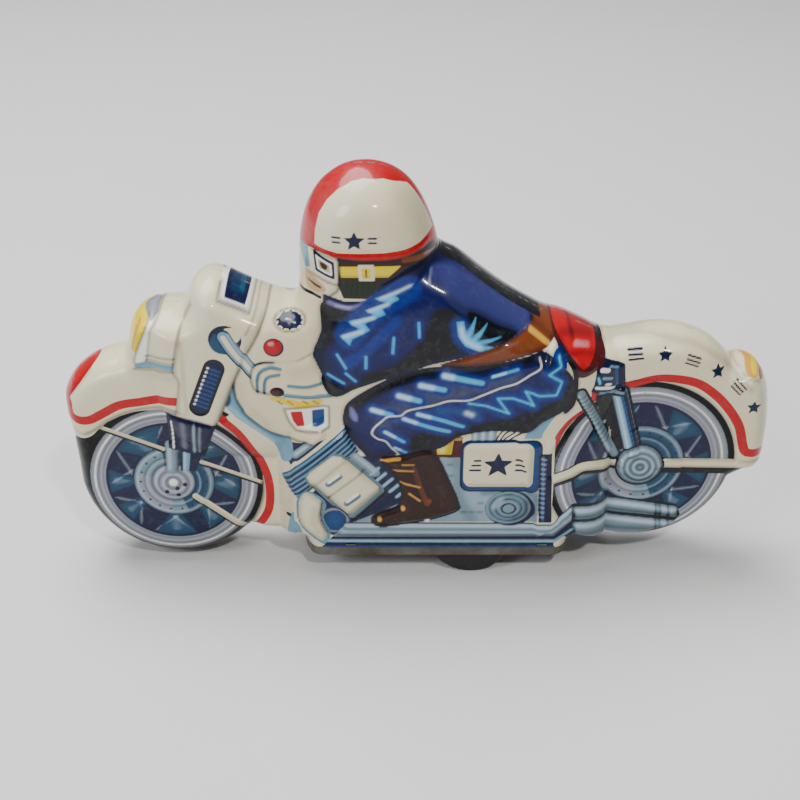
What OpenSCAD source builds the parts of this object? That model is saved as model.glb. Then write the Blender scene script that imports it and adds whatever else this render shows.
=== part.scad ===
// Clockwork tin motorcycle and rider: two pressed shell halves over a base tray,
// a spring motor between two plates, two rubber drive wheels and a front roller.
// Frame: +Z up, front of the toy towards -X, the seam of the shells on Y = 0,
// and the wheels stand on Z = 0. The key is on the +Y side.

/* [Shell] */
// Thickness of the printed tinplate
tin = 0.4; // [0.3:0.05:0.5]
// Half width of a shell at the two printed road wheels
wheel_half_w = 9.5; // [9:0.25:10.5]
// Half width at the engine, where the motor sits inside
body_half_w = 17; // [17:0.25:19]
// Half width at the rider's hips and thighs
rider_half_w = 18.5; // [17:0.5:20]
// Half width of the helmet
helmet_half_w = 16; // [13:0.5:17]
// Half width of the fairing and tank
fairing_half_w = 14; // [12:0.5:15]
// Width of the rounded band that leads from the flat side to the seam
edge_r = 6; // [4:0.5:7]
// Height of the open lower edge of the shells
hem_z = 11; // [10.5:0.25:11.5]

/* [Printed road wheels] */
// Radius of the front wheel
front_wheel_r = 29.6; // [29:0.1:29.8]
// Centre of the front wheel, along the toy and up
front_wheel_at = [-73.5, 30.9];
// Radius of the rear wheel
rear_wheel_r = 29.8; // [29.3:0.1:30.3]
// Centre of the rear wheel, along the toy and up
rear_wheel_at = [66.9, 37.2];

/* [Base tray] */
// Underside of the tray above the ground
tray_z = 7.6; // [7.4:0.1:7.8]
// Top of the tray's upturned flange
tray_top_z = 13.5; // [13:0.5:15]
// Clearance between the tray and the shells
tray_gap = 0.4; // [0.3:0.05:0.6]

/* [Drive wheels] */
// Radius of a rubber drive wheel
drive_r = 12.3; // [12:0.1:12.5]
// Width of a rubber drive wheel
drive_w = 4.2; // [3.4:0.2:4.2]
// Distance from the seam plane to the inner face of a drive wheel
drive_in_y = 10.6; // [10.4:0.1:10.6]
// Radius of the pressed tin hub inside the rubber
drive_hub_r = 5.5; // [5:0.25:6.5]
// Place of the drive axle along the toy
drive_x = 16.4; // [16:0.1:17]
// Radius of the drive axle
axle_r = 1.4; // [1.2:0.1:1.4]

/* [Clockwork] */
// Tooth module of the gear train
gear_module = 0.6; // [0.6]
// Teeth of the wheel on the winding arbor
great_teeth = 40; // [40]
// Teeth of the wheel on the second arbor
second_teeth = 30; // [30]
// Teeth of both pinions
pinion_teeth = 10; // [10]
// Pressure angle of the teeth
pressure_angle = 25; // [25]
// Play between two meshing teeth
tooth_play = 0.1; // [0.08:0.02:0.16]
// Place of the winding arbor, along the toy and up
arbor_at = [30, 31];
// Radius of the winding arbor
arbor_r = 2; // [1.8:0.1:2]
// Distance from the seam plane to the inner face of each motor plate
plate_in_y = 6.6; // [6.6:0.1:7]
// Thickness of the motor plates
plate_t = 0.8; // [0.6:0.1:1]
// Radial clearance of every running fit
run_fit = 0.05; // [0.03:0.01:0.09]
// Turns of the mainspring
spring_turns = 7; // [5:1:8]
// Thickness of the mainspring strip
spring_t = 0.35; // [0.25:0.05:0.4]
// Teeth of the ratchet wheel, one for every thirty degrees
ratchet_teeth = 12; // [12]

/* [Key] */
// Radius of each round wing of the key
key_wing_r = 5.2; // [4.5:0.1:6]
// Distance of the centre of each wing from the arbor
key_wing_x = 7.4; // [7:0.1:8]
// Thickness of the stamped key
key_t = 1.2; // [0.8:0.1:1.5]

/* [Front roller] */
// Radius of the roller that carries the front of the toy
roller_r = 6; // [5.8:0.1:6.2]
// Width of the front roller
roller_w = 6; // [5:0.5:6]

/* [Hidden] */
$fn = 48;

// Upper outline of the shells at the seam, front to back: fender, headlamp, fairing,
// tank, helmet, back, saddle bag and rear fender.
TOP_LINE = [
  [-104.6, 56.5], [-103.8, 59.5], [-101, 63.8], [-97, 67.2], [-93, 69.5], [-89.5, 70.6],
  [-86, 71.5], [-84.5, 73], [-82.6, 80.5], [-80.3, 84], [-77.5, 85.4], [-74, 85.8],
  [-68, 86], [-66, 88], [-64.3, 92.8], [-61.8, 95.2], [-58, 95.8], [-54, 94.6],
  [-49, 92], [-43, 89.4], [-36.5, 87.4], [-34, 91], [-33.4, 104], [-32.2, 112],
  [-30, 118], [-27, 122.4], [-23, 125.6], [-19, 127.3], [-14.5, 127.8], [-10.5, 127.3],
  [-6.5, 125.8], [-3, 123.3], [0, 119.6], [2.5, 114.8], [4.6, 109], [5.8, 104.5],
  [8.5, 102.4], [12, 100.4], [18.5, 94.9], [25.5, 89.6], [32.5, 85.3], [38, 82.3],
  [44, 80.4], [50.5, 77.6], [54, 76.2], [61, 77.2], [68, 78.3], [75, 78.2], [80, 77],
  [85, 74.8], [89.5, 71], [92, 68.2], [95, 68.2], [98, 67.8], [100, 66.6],
  [102.5, 62.8], [104, 58], [105, 49.5]
];
// Lower outline between the printed wheels: the web behind the front wheel, the
// front corner of the engine, the hem, and the muffler.
MIDDLE_LINE = [
  [-50.5, 11.8], [-47, 10.4], [-42, 10.2], [-39, 10.3], [-35.5, hem_z],
  [48, hem_z], [51, 10], [54.5, 9], [60, 8.2]
];
// Circle of the lightening holes in the great wheel
GREAT_HOLE_R = 7.4;
NOSE_X = TOP_LINE[0][0];
TAIL_X = TOP_LINE[len(TOP_LINE) - 1][0];
HEM_FROM_X = MIDDLE_LINE[4][0];
HEM_TO_X = MIDDLE_LINE[5][0];
// Lower edge of the front fender's tip and of the rear fender's end
NOSE_LOW = [[-104.6, 52], [-103.6, 45], [-103, 34]];
TAIL_LOW = [[95.9, 30.5], [99, 31.2], [102, 33], [104, 35.5], [105, 39]];
// Stations along the toy where the shell's cross-section is taken
STATIONS = [
  -104.6, -104, -103.2, -102, -100, -97, -93, -88.5, -84.5, -83, -81, -78, -74, -69,
  -66.5, -64.5, -62, -58, -53, -48, -44, -40, -37, -35.5, -34.6, -33.4, -32.2, -30, -27, -23,
  -19, -14.5, -10.5, -6.5, -3, 0, 2.5, 4.6, 5.8, 8.5, 13, 19, 25.5, 32, 38, 43.5, 48, 50, 53.5,
  60, 67, 74, 80.5, 86, 91, 94.5, 98, 100.5, 102.5, 104, 105
];
// Heights in from the seam at which the rounded band is sampled
BAND_ROWS = [0, 0.7, 2, 4, 6.5];
// Raised areas: centre along, centre up, reach along, reach up, power, half width
PADS = [
  [8, 22, 50, 36, 6, body_half_w],
  [12, 66, 46, 43, 2, rider_half_w],
  [-13.5, 104, 21, 25, 2, helmet_half_w],
  [-47, 71, 29, 32, 3, fairing_half_w]
];

pitch_great = gear_module * great_teeth / 2;
pitch_second = gear_module * second_teeth / 2;
pitch_pinion = gear_module * pinion_teeth / 2;
centre_play = 0.05;
drive_at = [drive_x, drive_r];
// The second arbor stands where the two centre distances meet, on the front side
reach_great = pitch_great + pitch_pinion + centre_play;
reach_drive = pitch_second + pitch_pinion + centre_play;
span_v = drive_at - arbor_at;
span = norm(span_v);
along = (reach_great * reach_great - reach_drive * reach_drive + span * span) / (2 * span);
aside = sqrt(reach_great * reach_great - along * along);
second_at = arbor_at + along * span_v / span + aside * [span_v[1], -span_v[0]] / span;
great_mesh_a = atan2(second_at[1] - arbor_at[1], second_at[0] - arbor_at[0]);
second_mesh_a = atan2(drive_at[1] - second_at[1], drive_at[0] - second_at[0]);
half_pinion_a = 180 / pinion_teeth;

// Gear planes, measured from the seam plane
great_y = -6;
great_t = 0.8;
ratchet_y = -4.8;
ratchet_t = 1.2;
spring_y = -2.6;
spring_w = 6.2;
second_y = 4.5;
second_t = 1;
pinion_extra = 0.3;
journal_r = 1.5;
small_arbor_r = 1.2;
pillar_r = 1.5;
pillar_spigot_r = 1;
PILLARS = [[6.5, 36], [42.5, 41.5], [42.5, 12.5], [6.5, 11.5]];
spring_pillar = PILLARS[1];
LUG_X = [9, 36];
lug_w = 3;
TRAY_TAB_X = [-20, 38];
tray_tab_w = 3;
tray_tab_z = 12;
eyelet_r = 2.5;
key_y = 18;
roller_at = [front_wheel_at[0], roller_r];
bracket_half_w = 4;
bracket_t = 0.4;

// ---------- shell surface ----------

function arc_low(x, at, r) = at[1] - sqrt(max(0, r * r - (x - at[0]) * (x - at[0])));
function top_z(x) = lookup(x, TOP_LINE);
function bottom_z(x) =
  x < NOSE_LOW[2][0] ? lookup(x, NOSE_LOW) :
  x < MIDDLE_LINE[0][0] ? arc_low(x, front_wheel_at, front_wheel_r) :
  x < MIDDLE_LINE[8][0] ? lookup(x, MIDDLE_LINE) :
  x < TAIL_LOW[0][0] ? arc_low(x, rear_wheel_at, rear_wheel_r) : lookup(x, TAIL_LOW);
function is_open(x) = x > HEM_FROM_X && x < HEM_TO_X;
function is_hem(x) = x >= HEM_FROM_X && x <= HEM_TO_X;

// Half width of the flat side, before the edge is rounded
function pad_w(p, x, z) =
  let (q = pow(abs(x - p[0]) / p[2], p[4]) + pow(abs(z - p[1]) / p[3], p[4]))
  wheel_half_w + (p[5] - wheel_half_w) * max(0, 1 - q * q);
function side_w(x, z) = max([for (p = PADS) pad_w(p, x, z)]);

// Shrunk stations and heights of the inner face of the tinplate
mid_x = (NOSE_X + TAIL_X) / 2;
in_scale = 1 - 2 * tin / (TAIL_X - NOSE_X);
function st_x(i, t) = t == 0 ? STATIONS[i] : mid_x + (STATIONS[i] - mid_x) * in_scale;
function st_top(x, t) = t == 0 ? top_z(x) : min(top_z(x - t), top_z(x), top_z(x + t)) - t;
function st_low(x, t) =
  t == 0 || is_hem(x) ? bottom_z(x) : max(bottom_z(x - t), bottom_z(x), bottom_z(x + t)) + t;

function seg_dist(p, a, b) =
  let (v = b - a, k = max(0, min(1, ((p - a) * v) / max(1e-6, v * v))))
  norm(p - a - k * v);
function seam_dist(p, line) =
  min([for (i = [0 : len(line) - 2]) norm(line[i] - p) < 26 ? seg_dist(p, line[i], line[i + 1]) : 99]);

// The closed seam, starting and ending at the open hem
function seam_line(t) =
  let (last = len(STATIONS) - 1)
  concat(
    [for (i = [last : -1 : 0]) let (x = st_x(i, t)) if (STATIONS[i] <= HEM_FROM_X) [x, st_low(x, t)]],
    [for (i = [0 : last]) let (x = st_x(i, t)) [x, st_top(x, t)]],
    [for (i = [last : -1 : 0]) let (x = st_x(i, t)) if (STATIONS[i] >= HEM_TO_X) [x, st_low(x, t)]]
  );

// One column of points at station i: t is 0 on the outer face and the wall on the inner
function column(i, t, line) =
  let (
    x = st_x(i, t), low = st_low(x, t), high = st_top(x, t), h = high - low,
    squeeze = min(1, h / 18),
    rows = concat(
      [for (r = BAND_ROWS) low + r * squeeze],
      [for (k = [0.25, 0.5, 0.75]) low + 6.5 * squeeze + k * (h - 13 * squeeze)],
      [for (k = [4 : -1 : 0]) high - BAND_ROWS[k] * squeeze]
    )
  )
  [for (z = rows)
    let (d = min(1, seam_dist([x, z], line) / (edge_r - t)))
    [x, -(side_w(x, z) - t) * sqrt(max(0, 1 - (1 - d) * (1 - d))), z]];

module shell_form() {
  n = len(STATIONS);
  m = 13;
  skin_out = seam_line(0);
  skin_in = seam_line(tin);
  outer = [for (i = [0 : n - 1]) each column(i, 0, skin_out)];
  inner = [for (i = [0 : n - 1]) each column(i, tin, skin_in)];
  off = n * m;
  ring = concat(
    [for (i = [0 : n - 1]) i * m],
    [for (j = [1 : m - 1]) (n - 1) * m + j],
    [for (i = [n - 2 : -1 : 0]) i * m + m - 1],
    [for (j = [m - 2 : -1 : 1]) j]
  );
  faces = concat(
    [for (i = [0 : n - 2], j = [0 : m - 2]) let (a = i * m + j)
      each [[a, a + m + 1, a + 1], [a, a + m, a + m + 1]]],
    [for (i = [0 : n - 2], j = [0 : m - 2]) let (a = off + i * m + j)
      each [[a, a + 1, a + m + 1], [a, a + m + 1, a + m]]],
    [for (k = [0 : len(ring) - 1]) let (a = ring[k], b = ring[(k + 1) % len(ring)])
      each [[a, b + off, b], [a, a + off, b + off]]]
  );
  polyhedron(points = concat(outer, inner), faces = faces, convexity = 8);
}

// ---------- helpers ----------

// A flat outline drawn in X and Z, made solid from y0 over a depth t
module plate(y0, t) {
  translate([0, y0 + t, 0]) rotate([90, 0, 0]) linear_extrude(t) children();
}
module rod(at, y0, y1, r) {
  translate([at[0], y1, at[1]]) rotate([90, 0, 0]) cylinder(h = y1 - y0, r = r);
}
module hole(at, y0, y1, r) {
  rod(at, y0 - 0.5, y1 + 0.5, r);
}

function flank(rb, r) = let (a = sqrt(max(0, (r / rb) * (r / rb) - 1))) a * 180 / PI - atan(a);
module gear_outline(teeth) {
  rp = gear_module * teeth / 2;
  rb = rp * cos(pressure_angle);
  tip = rp + 0.8 * gear_module;
  root = rp - gear_module;
  half = 90 / teeth - (tooth_play / 4) / rp * 180 / PI + flank(rb, rp);
  steps = [for (k = [0 : 4]) max(rb, root) + (tip - max(rb, root)) * k / 4];
  polygon([for (i = [0 : teeth - 1]) let (a = i * 360 / teeth) each concat(
    [root * [cos(a - half), sin(a - half)]],
    [for (r = steps) let (b = a - half + flank(rb, r)) r * [cos(b), sin(b)]],
    [for (k = [4 : -1 : 0]) let (r = steps[k], b = a + half - flank(rb, r)) r * [cos(b), sin(b)]],
    [root * [cos(a + half), sin(a + half)]]
  )]);
}
module gear(at, y0, t, teeth, turn, bore) {
  difference() {
    translate([at[0], 0, at[1]]) plate(y0, t) rotate(turn) gear_outline(teeth);
    hole(at, y0, y0 + t, bore);
  }
}

// ---------- shells and base ----------

module shell_slots() {
  for (x = TRAY_TAB_X)
    translate([x - tray_tab_w / 2 - 0.2, -body_half_w - 1, tray_tab_z - 0.2])
      cube([tray_tab_w + 0.4, 3, tin + 0.4]);
  translate([roller_at[0] - 5.6, -roller_w / 2 - 0.5, -1]) cube([11.2, roller_w + 1, 5]);
}
module left_shell() {
  color("ivory") difference() {
    shell_form();
    shell_slots();
  }
}
module right_shell() {
  color("navy") difference() {
    mirror([0, 1, 0]) difference() {
      shell_form();
      shell_slots();
    }
    hole(arbor_at, body_half_w - 1, body_half_w + 1, eyelet_r + 0.02);
  }
}

// Plan of the tray: straight sides with a quarter ellipse at each end
function tray_side(x, inset) =
  let (d = min(x - HEM_FROM_X - inset, HEM_TO_X - inset - x), k = min(1, max(0, d) / (edge_r - tin)))
  (body_half_w - tin - inset) * sqrt(1 - (1 - k) * (1 - k));
module tray_plan(inset) {
  a = HEM_FROM_X + inset;
  b = HEM_TO_X - inset;
  band = edge_r - tin;
  xs = concat(
    [for (k = [0 : 6]) a + band * (1 - cos(k * 15))],
    [for (k = [6 : -1 : 0]) b - band * (1 - cos(k * 15))]
  );
  polygon(concat(
    [for (x = xs) [x, tray_side(x, inset)]],
    [for (k = [len(xs) - 2 : -1 : 1]) [xs[k], -tray_side(xs[k], inset)]]
  ));
}
module base_tray() {
  wheel_slot_x = drive_r - 0.2;
  color("silver") {
    difference() {
      translate([0, 0, tray_z]) linear_extrude(tray_top_z - tray_z) tray_plan(tray_gap);
      translate([0, 0, tray_z + tin]) linear_extrude(tray_top_z) tray_plan(tray_gap + tin);
      for (s = [-1, 1]) {
        translate([drive_x - wheel_slot_x, s * 12.6 - 2.7, tray_z - 1])
          cube([2 * wheel_slot_x, 5.4, tin + 2]);
        for (x = LUG_X)
          translate([x - 0.15, s * (plate_in_y + plate_t / 2) - plate_t / 2 - 0.1, tray_z - 1])
            cube([lug_w + 0.3, plate_t + 0.2, tin + 2]);
      }
    }
    for (s = [-1, 1], x = TRAY_TAB_X)
      translate([x - tray_tab_w / 2, s > 0 ? body_half_w - 1.2 : -body_half_w - 0.4, tray_tab_z])
        cube([tray_tab_w, 1.6, tin]);
  }
}

// ---------- front roller ----------

module front_bracket() {
  at = roller_at;
  top = at[1] + roller_r + 1.4;
  wing_y = wheel_half_w - tin - 0.05;
  color("silver") difference() {
    union() {
      for (s = [-1, 1])
        translate([at[0] - 3, s > 0 ? bracket_half_w : -bracket_half_w - bracket_t, at[1] - 2.4])
          cube([6, bracket_t, top - at[1] + 2.4]);
      translate([at[0] - 3, -bracket_half_w, top - bracket_t]) cube([6, 2 * bracket_half_w, bracket_t]);
      for (s = [-1, 1])
        translate([at[0] - 3, s > 0 ? bracket_half_w : -wing_y, top - bracket_t])
          cube([6, wing_y - bracket_half_w, bracket_t]);
    }
    hole(at, -5, 5, 1);
  }
}
module front_axle() {
  color("dimgray") rod(roller_at, -bracket_half_w - bracket_t - 0.5, bracket_half_w + bracket_t + 0.5, 1);
}
module front_roller() {
  round_r = 0.8;
  color("black") difference() {
    union() {
      rod(roller_at, -roller_w / 2 + round_r, roller_w / 2 - round_r, roller_r);
      rod(roller_at, -roller_w / 2, roller_w / 2, roller_r - round_r);
      for (s = [-1, 1])
        translate([roller_at[0], s * (roller_w / 2 - round_r), roller_at[1]]) rotate([90, 0, 0])
          rotate_extrude() translate([roller_r - round_r, 0]) circle(r = round_r, $fn = 24);
    }
    hole(roller_at, -roller_w / 2, roller_w / 2, 1 + run_fit);
  }
}

// ---------- motor frame ----------

module motor_plate(s) {
  y0 = s > 0 ? plate_in_y : -plate_in_y - plate_t;
  y1 = y0 + plate_t;
  difference() {
    union() {
      plate(y0, plate_t) {
        polygon([[3.5, 8.8], [46, 8.8], [46, 41.5], [42.5, 45], [6.5, 39.5], [3.5, 36]]);
        translate([42.5, 41.5]) circle(r = 3.5);
        translate([6.5, 36]) circle(r = 3.5);
      }
      for (x = LUG_X) translate([x, y0, tray_z - 0.6]) cube([lug_w, plate_t, 3]);
    }
    for (p = PILLARS) hole(p, y0, y1, pillar_spigot_r);
    hole(arbor_at, y0, y1, journal_r + run_fit);
    hole(second_at, y0, y1, small_arbor_r + run_fit);
    hole(drive_at, y0, y1, axle_r + run_fit);
    hole([27.5, 12.5], y0, y1, 2.5);
    hole([11, 22], y0, y1, 2);
  }
}
module motor_plate_left() { color("goldenrod") motor_plate(-1); }
module motor_plate_right() { color("goldenrod") motor_plate(1); }
module frame_pillars() {
  color("silver") for (p = PILLARS) {
    rod(p, -plate_in_y, plate_in_y, pillar_r);
    rod(p, -plate_in_y - plate_t - 0.3, plate_in_y + plate_t + 0.3, pillar_spigot_r);
    for (s = [-1, 1]) let (y = s * (plate_in_y + plate_t + 0.25)) rod(p, y - 0.25, y + 0.25, 1.6);
  }
}

// ---------- spring and winding arbor ----------

spring_in_r = 3.2;
spring_out_r = 11.4;
function coil(k, extra) =
  let (a = k * 360 * spring_turns, r = spring_in_r + (spring_out_r - spring_in_r) * k + extra)
  [r * cos(a + 42), r * sin(a + 42)];
module mainspring() {
  n = 24 * spring_turns;
  hook = spring_pillar - arbor_at;
  reach = norm(hook);
  color("steelblue") translate([arbor_at[0], 0, arbor_at[1]]) plate(spring_y, spring_w) {
    difference() {
      union() {
        polygon(concat(
          [for (i = [0 : n]) coil(i / n, 0)],
          [for (i = [n : -1 : 0]) coil(i / n, spring_t)]
        ));
        rotate(atan2(hook[1], hook[0])) translate([spring_out_r, -1]) square([reach - spring_out_r, 2]);
        translate(hook) circle(r = pillar_r + 0.1 + spring_t);
      }
      translate(hook) circle(r = pillar_r + 0.1);
    }
  }
}
module winding_arbor() {
  color("dimgray") {
    rod(arbor_at, -plate_in_y + 0.1, plate_in_y - 0.1, arbor_r);
    rod(arbor_at, -plate_in_y - plate_t - 0.5, key_y + 5, journal_r);
  }
}
module arbor_hook() {
  color("silver") difference() {
    translate([arbor_at[0] + arbor_r - 0.6, spring_y + spring_w / 2, arbor_at[1]])
      rotate([0, 90, 0]) cylinder(h = 1.2, r = 0.5, $fn = 24);
    rod(arbor_at, spring_y, spring_y + spring_w, arbor_r);
  }
}
module arbor_collar() {
  y0 = plate_in_y + plate_t + 0.1;
  color("silver") difference() {
    rod(arbor_at, y0, y0 + 1, 3);
    hole(arbor_at, y0, y0 + 1, journal_r);
  }
}
ratchet_tip_r = 4.2;
ratchet_root_r = 3.3;
module ratchet_wheel() {
  step = 360 / ratchet_teeth;
  color("silver") difference() {
    translate([arbor_at[0], 0, arbor_at[1]]) plate(ratchet_y, ratchet_t)
      polygon([for (i = [0 : ratchet_teeth - 1]) each [
        ratchet_tip_r * [cos(i * step), sin(i * step)],
        ratchet_root_r * [cos(i * step + 2), sin(i * step + 2)]
      ]]);
    hole(arbor_at, ratchet_y, ratchet_y + ratchet_t, arbor_r);
  }
}
module key_barrel() {
  color("silver") difference() {
    rod(arbor_at, key_y, key_y + 5.6, 2.7);
    hole(arbor_at, key_y - 1, key_y + 4.5, journal_r);
  }
}
module key_wings() {
  wing_y = key_y + 5.6 + key_wing_r - 2.4;
  color("silver") translate([arbor_at[0], 0, arbor_at[1] - key_t / 2]) difference() {
    union() {
      for (s = [-1, 1]) translate([s * key_wing_x, wing_y, 0]) cylinder(h = key_t, r = key_wing_r);
      translate([-key_wing_x, key_y + 5.6, 0]) cube([2 * key_wing_x, key_wing_r * 1.35, key_t]);
    }
    for (s = [-1, 1]) translate([s * key_wing_x, wing_y, -1]) cylinder(h = key_t + 2, r = 2);
  }
}
module key_eyelet() {
  color("goldenrod") difference() {
    union() {
      rod(arbor_at, body_half_w - tin - 0.6, body_half_w + 0.55, eyelet_r);
      rod(arbor_at, body_half_w + 0.05, body_half_w + 0.55, 3.9);
      rod(arbor_at, body_half_w - tin - 0.6, body_half_w - tin - 0.1, 3.4);
    }
    hole(arbor_at, body_half_w - 2, body_half_w + 2, journal_r + 0.09);
  }
}

// ---------- gear train ----------

module great_wheel() {
  color("goldenrod") difference() {
    union() {
      gear(arbor_at, great_y, great_t, great_teeth, great_mesh_a, 1);
      rod(arbor_at, great_y - 0.4, great_y + great_t, 3.4);
    }
    hole(arbor_at, great_y - 1, great_y + great_t, arbor_r + run_fit);
    hole(arbor_at + click_pin, great_y, great_y + great_t, click_rivet_r);
    for (a = [150, 210, 270, 330]) 
      hole(arbor_at + GREAT_HOLE_R * [cos(a), sin(a)], great_y, great_y + great_t, 1.6);
  }
}
click_rivet_r = 0.7;
click_pin = [2.4, 8.2];
click_tip_r = 3.75;
// The click is a springy strip that leans on a ratchet tooth: foot, arc and tip
module click_spring() {
  y0 = great_y + great_t;
  foot = click_pin;
  tip = click_tip_r * [cos(75), sin(75)];
  color("lightsteelblue") translate([arbor_at[0], 0, arbor_at[1]]) difference() {
    union() {
      plate(y0, 0.5) translate(foot) circle(r = 1.6);
      plate(y0, ratchet_t + 0.3) polygon([
        foot + [-1.5, -0.5], foot + [-1.2, -1.1], foot + [0.1, -1.6], foot + [1.3, -0.8],
        tip + [1.5, 1.4], tip + [0.3, 0.1], tip, tip + [-0.1, 0.55], foot + [-0.9, -2.2]
      ]);
    }
    hole(click_pin, y0, y0 + 2, click_rivet_r);
  }
}
module click_rivet() {
  at = arbor_at + click_pin;
  color("silver") {
    rod(at, great_y, great_y + great_t + 0.5, click_rivet_r);
    rod(at, great_y - 0.3, great_y, 1.1);
  }
}
module second_arbor() {
  color("dimgray") rod(second_at, -plate_in_y - plate_t - 0.5, plate_in_y + plate_t + 0.5, small_arbor_r);
}
module second_pinion() {
  color("silver")
    gear(second_at, great_y - pinion_extra, great_t + 2 * pinion_extra, pinion_teeth,
      great_mesh_a + half_pinion_a, small_arbor_r);
}
module second_wheel() {
  color("goldenrod") difference() {
    union() {
      gear(second_at, second_y, second_t, second_teeth, second_mesh_a, 1);
      rod(second_at, second_y - 1, second_y + second_t, 2.6);
    }
    hole(second_at, second_y - 1, second_y + second_t, small_arbor_r);
    for (a = [45 : 90 : 315]) hole(second_at + 5.4 * [cos(a), sin(a)], second_y, second_y + second_t, 1.7);
  }
}
module drive_axle() {
  end = drive_in_y + drive_w + 0.6;
  color("dimgray") rod(drive_at, -end, end, axle_r);
}
module drive_pinion() {
  color("silver")
    gear(drive_at, second_y - pinion_extra, second_t + 2 * pinion_extra, pinion_teeth,
      second_mesh_a + half_pinion_a, axle_r);
}
module axle_collars() {
  y0 = plate_in_y + plate_t + 0.15;
  color("silver") for (s = [0, 1]) mirror([0, s, 0]) difference() {
    rod(drive_at, y0, drive_in_y, 2.3);
    hole(drive_at, y0, drive_in_y, axle_r);
  }
}

// ---------- drive wheels ----------

// side is -1 for the left wheel and 1 for the right
function wheel_y0(side) = side > 0 ? drive_in_y : -drive_in_y - drive_w;
module drive_hub(side) {
  y0 = wheel_y0(side);
  dish = 0.9;
  color("silver") difference() {
    rod(drive_at, y0, y0 + drive_w, drive_hub_r);
    if (side > 0) rod(drive_at, y0 + drive_w - dish, y0 + drive_w + 1, drive_hub_r - 1);
    else rod(drive_at, y0 - 1, y0 + dish, drive_hub_r - 1);
    hole(drive_at, y0, y0 + drive_w, axle_r);
  }
}
module drive_tyre(side) {
  round_r = 1.2;
  y0 = wheel_y0(side);
  color("black") difference() {
    union() {
      rod(drive_at, y0 + round_r, y0 + drive_w - round_r, drive_r);
      rod(drive_at, y0, y0 + drive_w, drive_r - round_r);
      for (y = [y0 + round_r, y0 + drive_w - round_r])
        translate([drive_at[0], y, drive_at[1]]) rotate([90, 0, 0])
          rotate_extrude() translate([drive_r - round_r, 0]) circle(r = round_r, $fn = 24);
    }
    hole(drive_at, y0, y0 + drive_w, drive_hub_r);
  }
}
module drive_hub_left() { drive_hub(-1); }
module drive_hub_right() { drive_hub(1); }
module drive_tyre_left() { drive_tyre(-1); }
module drive_tyre_right() { drive_tyre(1); }

left_shell();
right_shell();
base_tray();
front_bracket();
front_axle();
front_roller();
motor_plate_left();
motor_plate_right();
frame_pillars();
mainspring();
winding_arbor();
arbor_hook();
arbor_collar();
ratchet_wheel();
key_barrel();
key_wings();
key_eyelet();
great_wheel();
click_spring();
click_rivet();
second_arbor();
second_pinion();
second_wheel();
drive_axle();
drive_pinion();
axle_collars();
drive_hub_left();
drive_hub_right();
drive_tyre_left();
drive_tyre_right();
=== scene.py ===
import math

import bmesh
import bpy
import numpy as np
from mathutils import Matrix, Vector


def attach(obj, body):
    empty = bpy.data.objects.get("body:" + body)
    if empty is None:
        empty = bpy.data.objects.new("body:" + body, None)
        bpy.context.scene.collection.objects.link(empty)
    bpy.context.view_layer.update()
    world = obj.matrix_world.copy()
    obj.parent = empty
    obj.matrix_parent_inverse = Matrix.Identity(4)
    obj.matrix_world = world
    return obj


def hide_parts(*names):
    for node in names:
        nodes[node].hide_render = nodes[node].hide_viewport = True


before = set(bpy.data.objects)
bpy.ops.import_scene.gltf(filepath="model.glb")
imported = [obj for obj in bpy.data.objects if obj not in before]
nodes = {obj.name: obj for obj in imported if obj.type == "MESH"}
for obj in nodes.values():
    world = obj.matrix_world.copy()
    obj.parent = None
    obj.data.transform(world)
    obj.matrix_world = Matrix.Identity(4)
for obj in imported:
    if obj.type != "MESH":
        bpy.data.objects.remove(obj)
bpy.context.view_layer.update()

# ---------- camera ----------
# Looks down on the toy's left side from about arm's length.
target = Vector((-0.0051, 0, 0.053))
look_down = math.radians(30)
distance = 0.4
back = Vector((0, -math.cos(look_down), math.sin(look_down)))
camera_data = bpy.data.cameras.new("camera")
camera_data.lens = 60
camera_data.sensor_width = 36
camera_data.clip_start = 0.02
camera = bpy.data.objects.new("camera", camera_data)
camera.location = target + back * distance
camera.rotation_mode = "QUATERNION"
camera.rotation_quaternion = (-back).to_track_quat("-Z", "Y")
bpy.context.scene.collection.objects.link(camera)
bpy.context.scene.camera = camera

# ---------- left shell ----------
# The left half of the toy: one sheet of 0.4 mm tinplate, printed flat in some
# twenty opaque inks under a clear lacquer, then pressed over a die. Its edge
# meets the right half on the seam plane; the hem under the engine is open.

# sheet outline, in millimetres along the toy and up
TOP_LINE = [
    (-104.6, 56.5), (-103.8, 59.5), (-101, 63.8), (-97, 67.2), (-93, 69.5), (-89.5, 70.6),
    (-86, 71.5), (-84.5, 73), (-82.6, 80.5), (-80.3, 84), (-77.5, 85.4), (-74, 85.8),
    (-68, 86), (-66, 88), (-64.3, 92.8), (-61.8, 95.2), (-58, 95.8), (-54, 94.6),
    (-49, 92), (-43, 89.4), (-36.5, 87.4), (-34, 91), (-33.4, 104), (-32.2, 112),
    (-30, 118), (-27, 122.4), (-23, 125.6), (-19, 127.3), (-14.5, 127.8), (-10.5, 127.3),
    (-6.5, 125.8), (-3, 123.3), (0, 119.6), (2.5, 114.8), (4.6, 109), (5.8, 104.5),
    (8.5, 102.4), (12, 100.4), (18.5, 94.9), (25.5, 89.6), (32.5, 85.3), (38, 82.3),
    (44, 80.4), (50.5, 77.6), (54, 76.2), (61, 77.2), (68, 78.3), (75, 78.2), (80, 77),
    (85, 74.8), (89.5, 71), (92, 68.2), (95, 68.2), (98, 67.8), (100, 66.6),
    (102.5, 62.8), (104, 58), (105, 49.5), (105, 39), (104, 35.5), (102, 33), (99, 31.2),
]
LOW_LINE = [(60, 8.2), (54.5, 9), (51, 10), (48, 11)]
WEB_LINE = [(-35.5, 11), (-39, 10.3), (-42, 10.2), (-47, 10.4), (-50.5, 11.8)]
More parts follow.
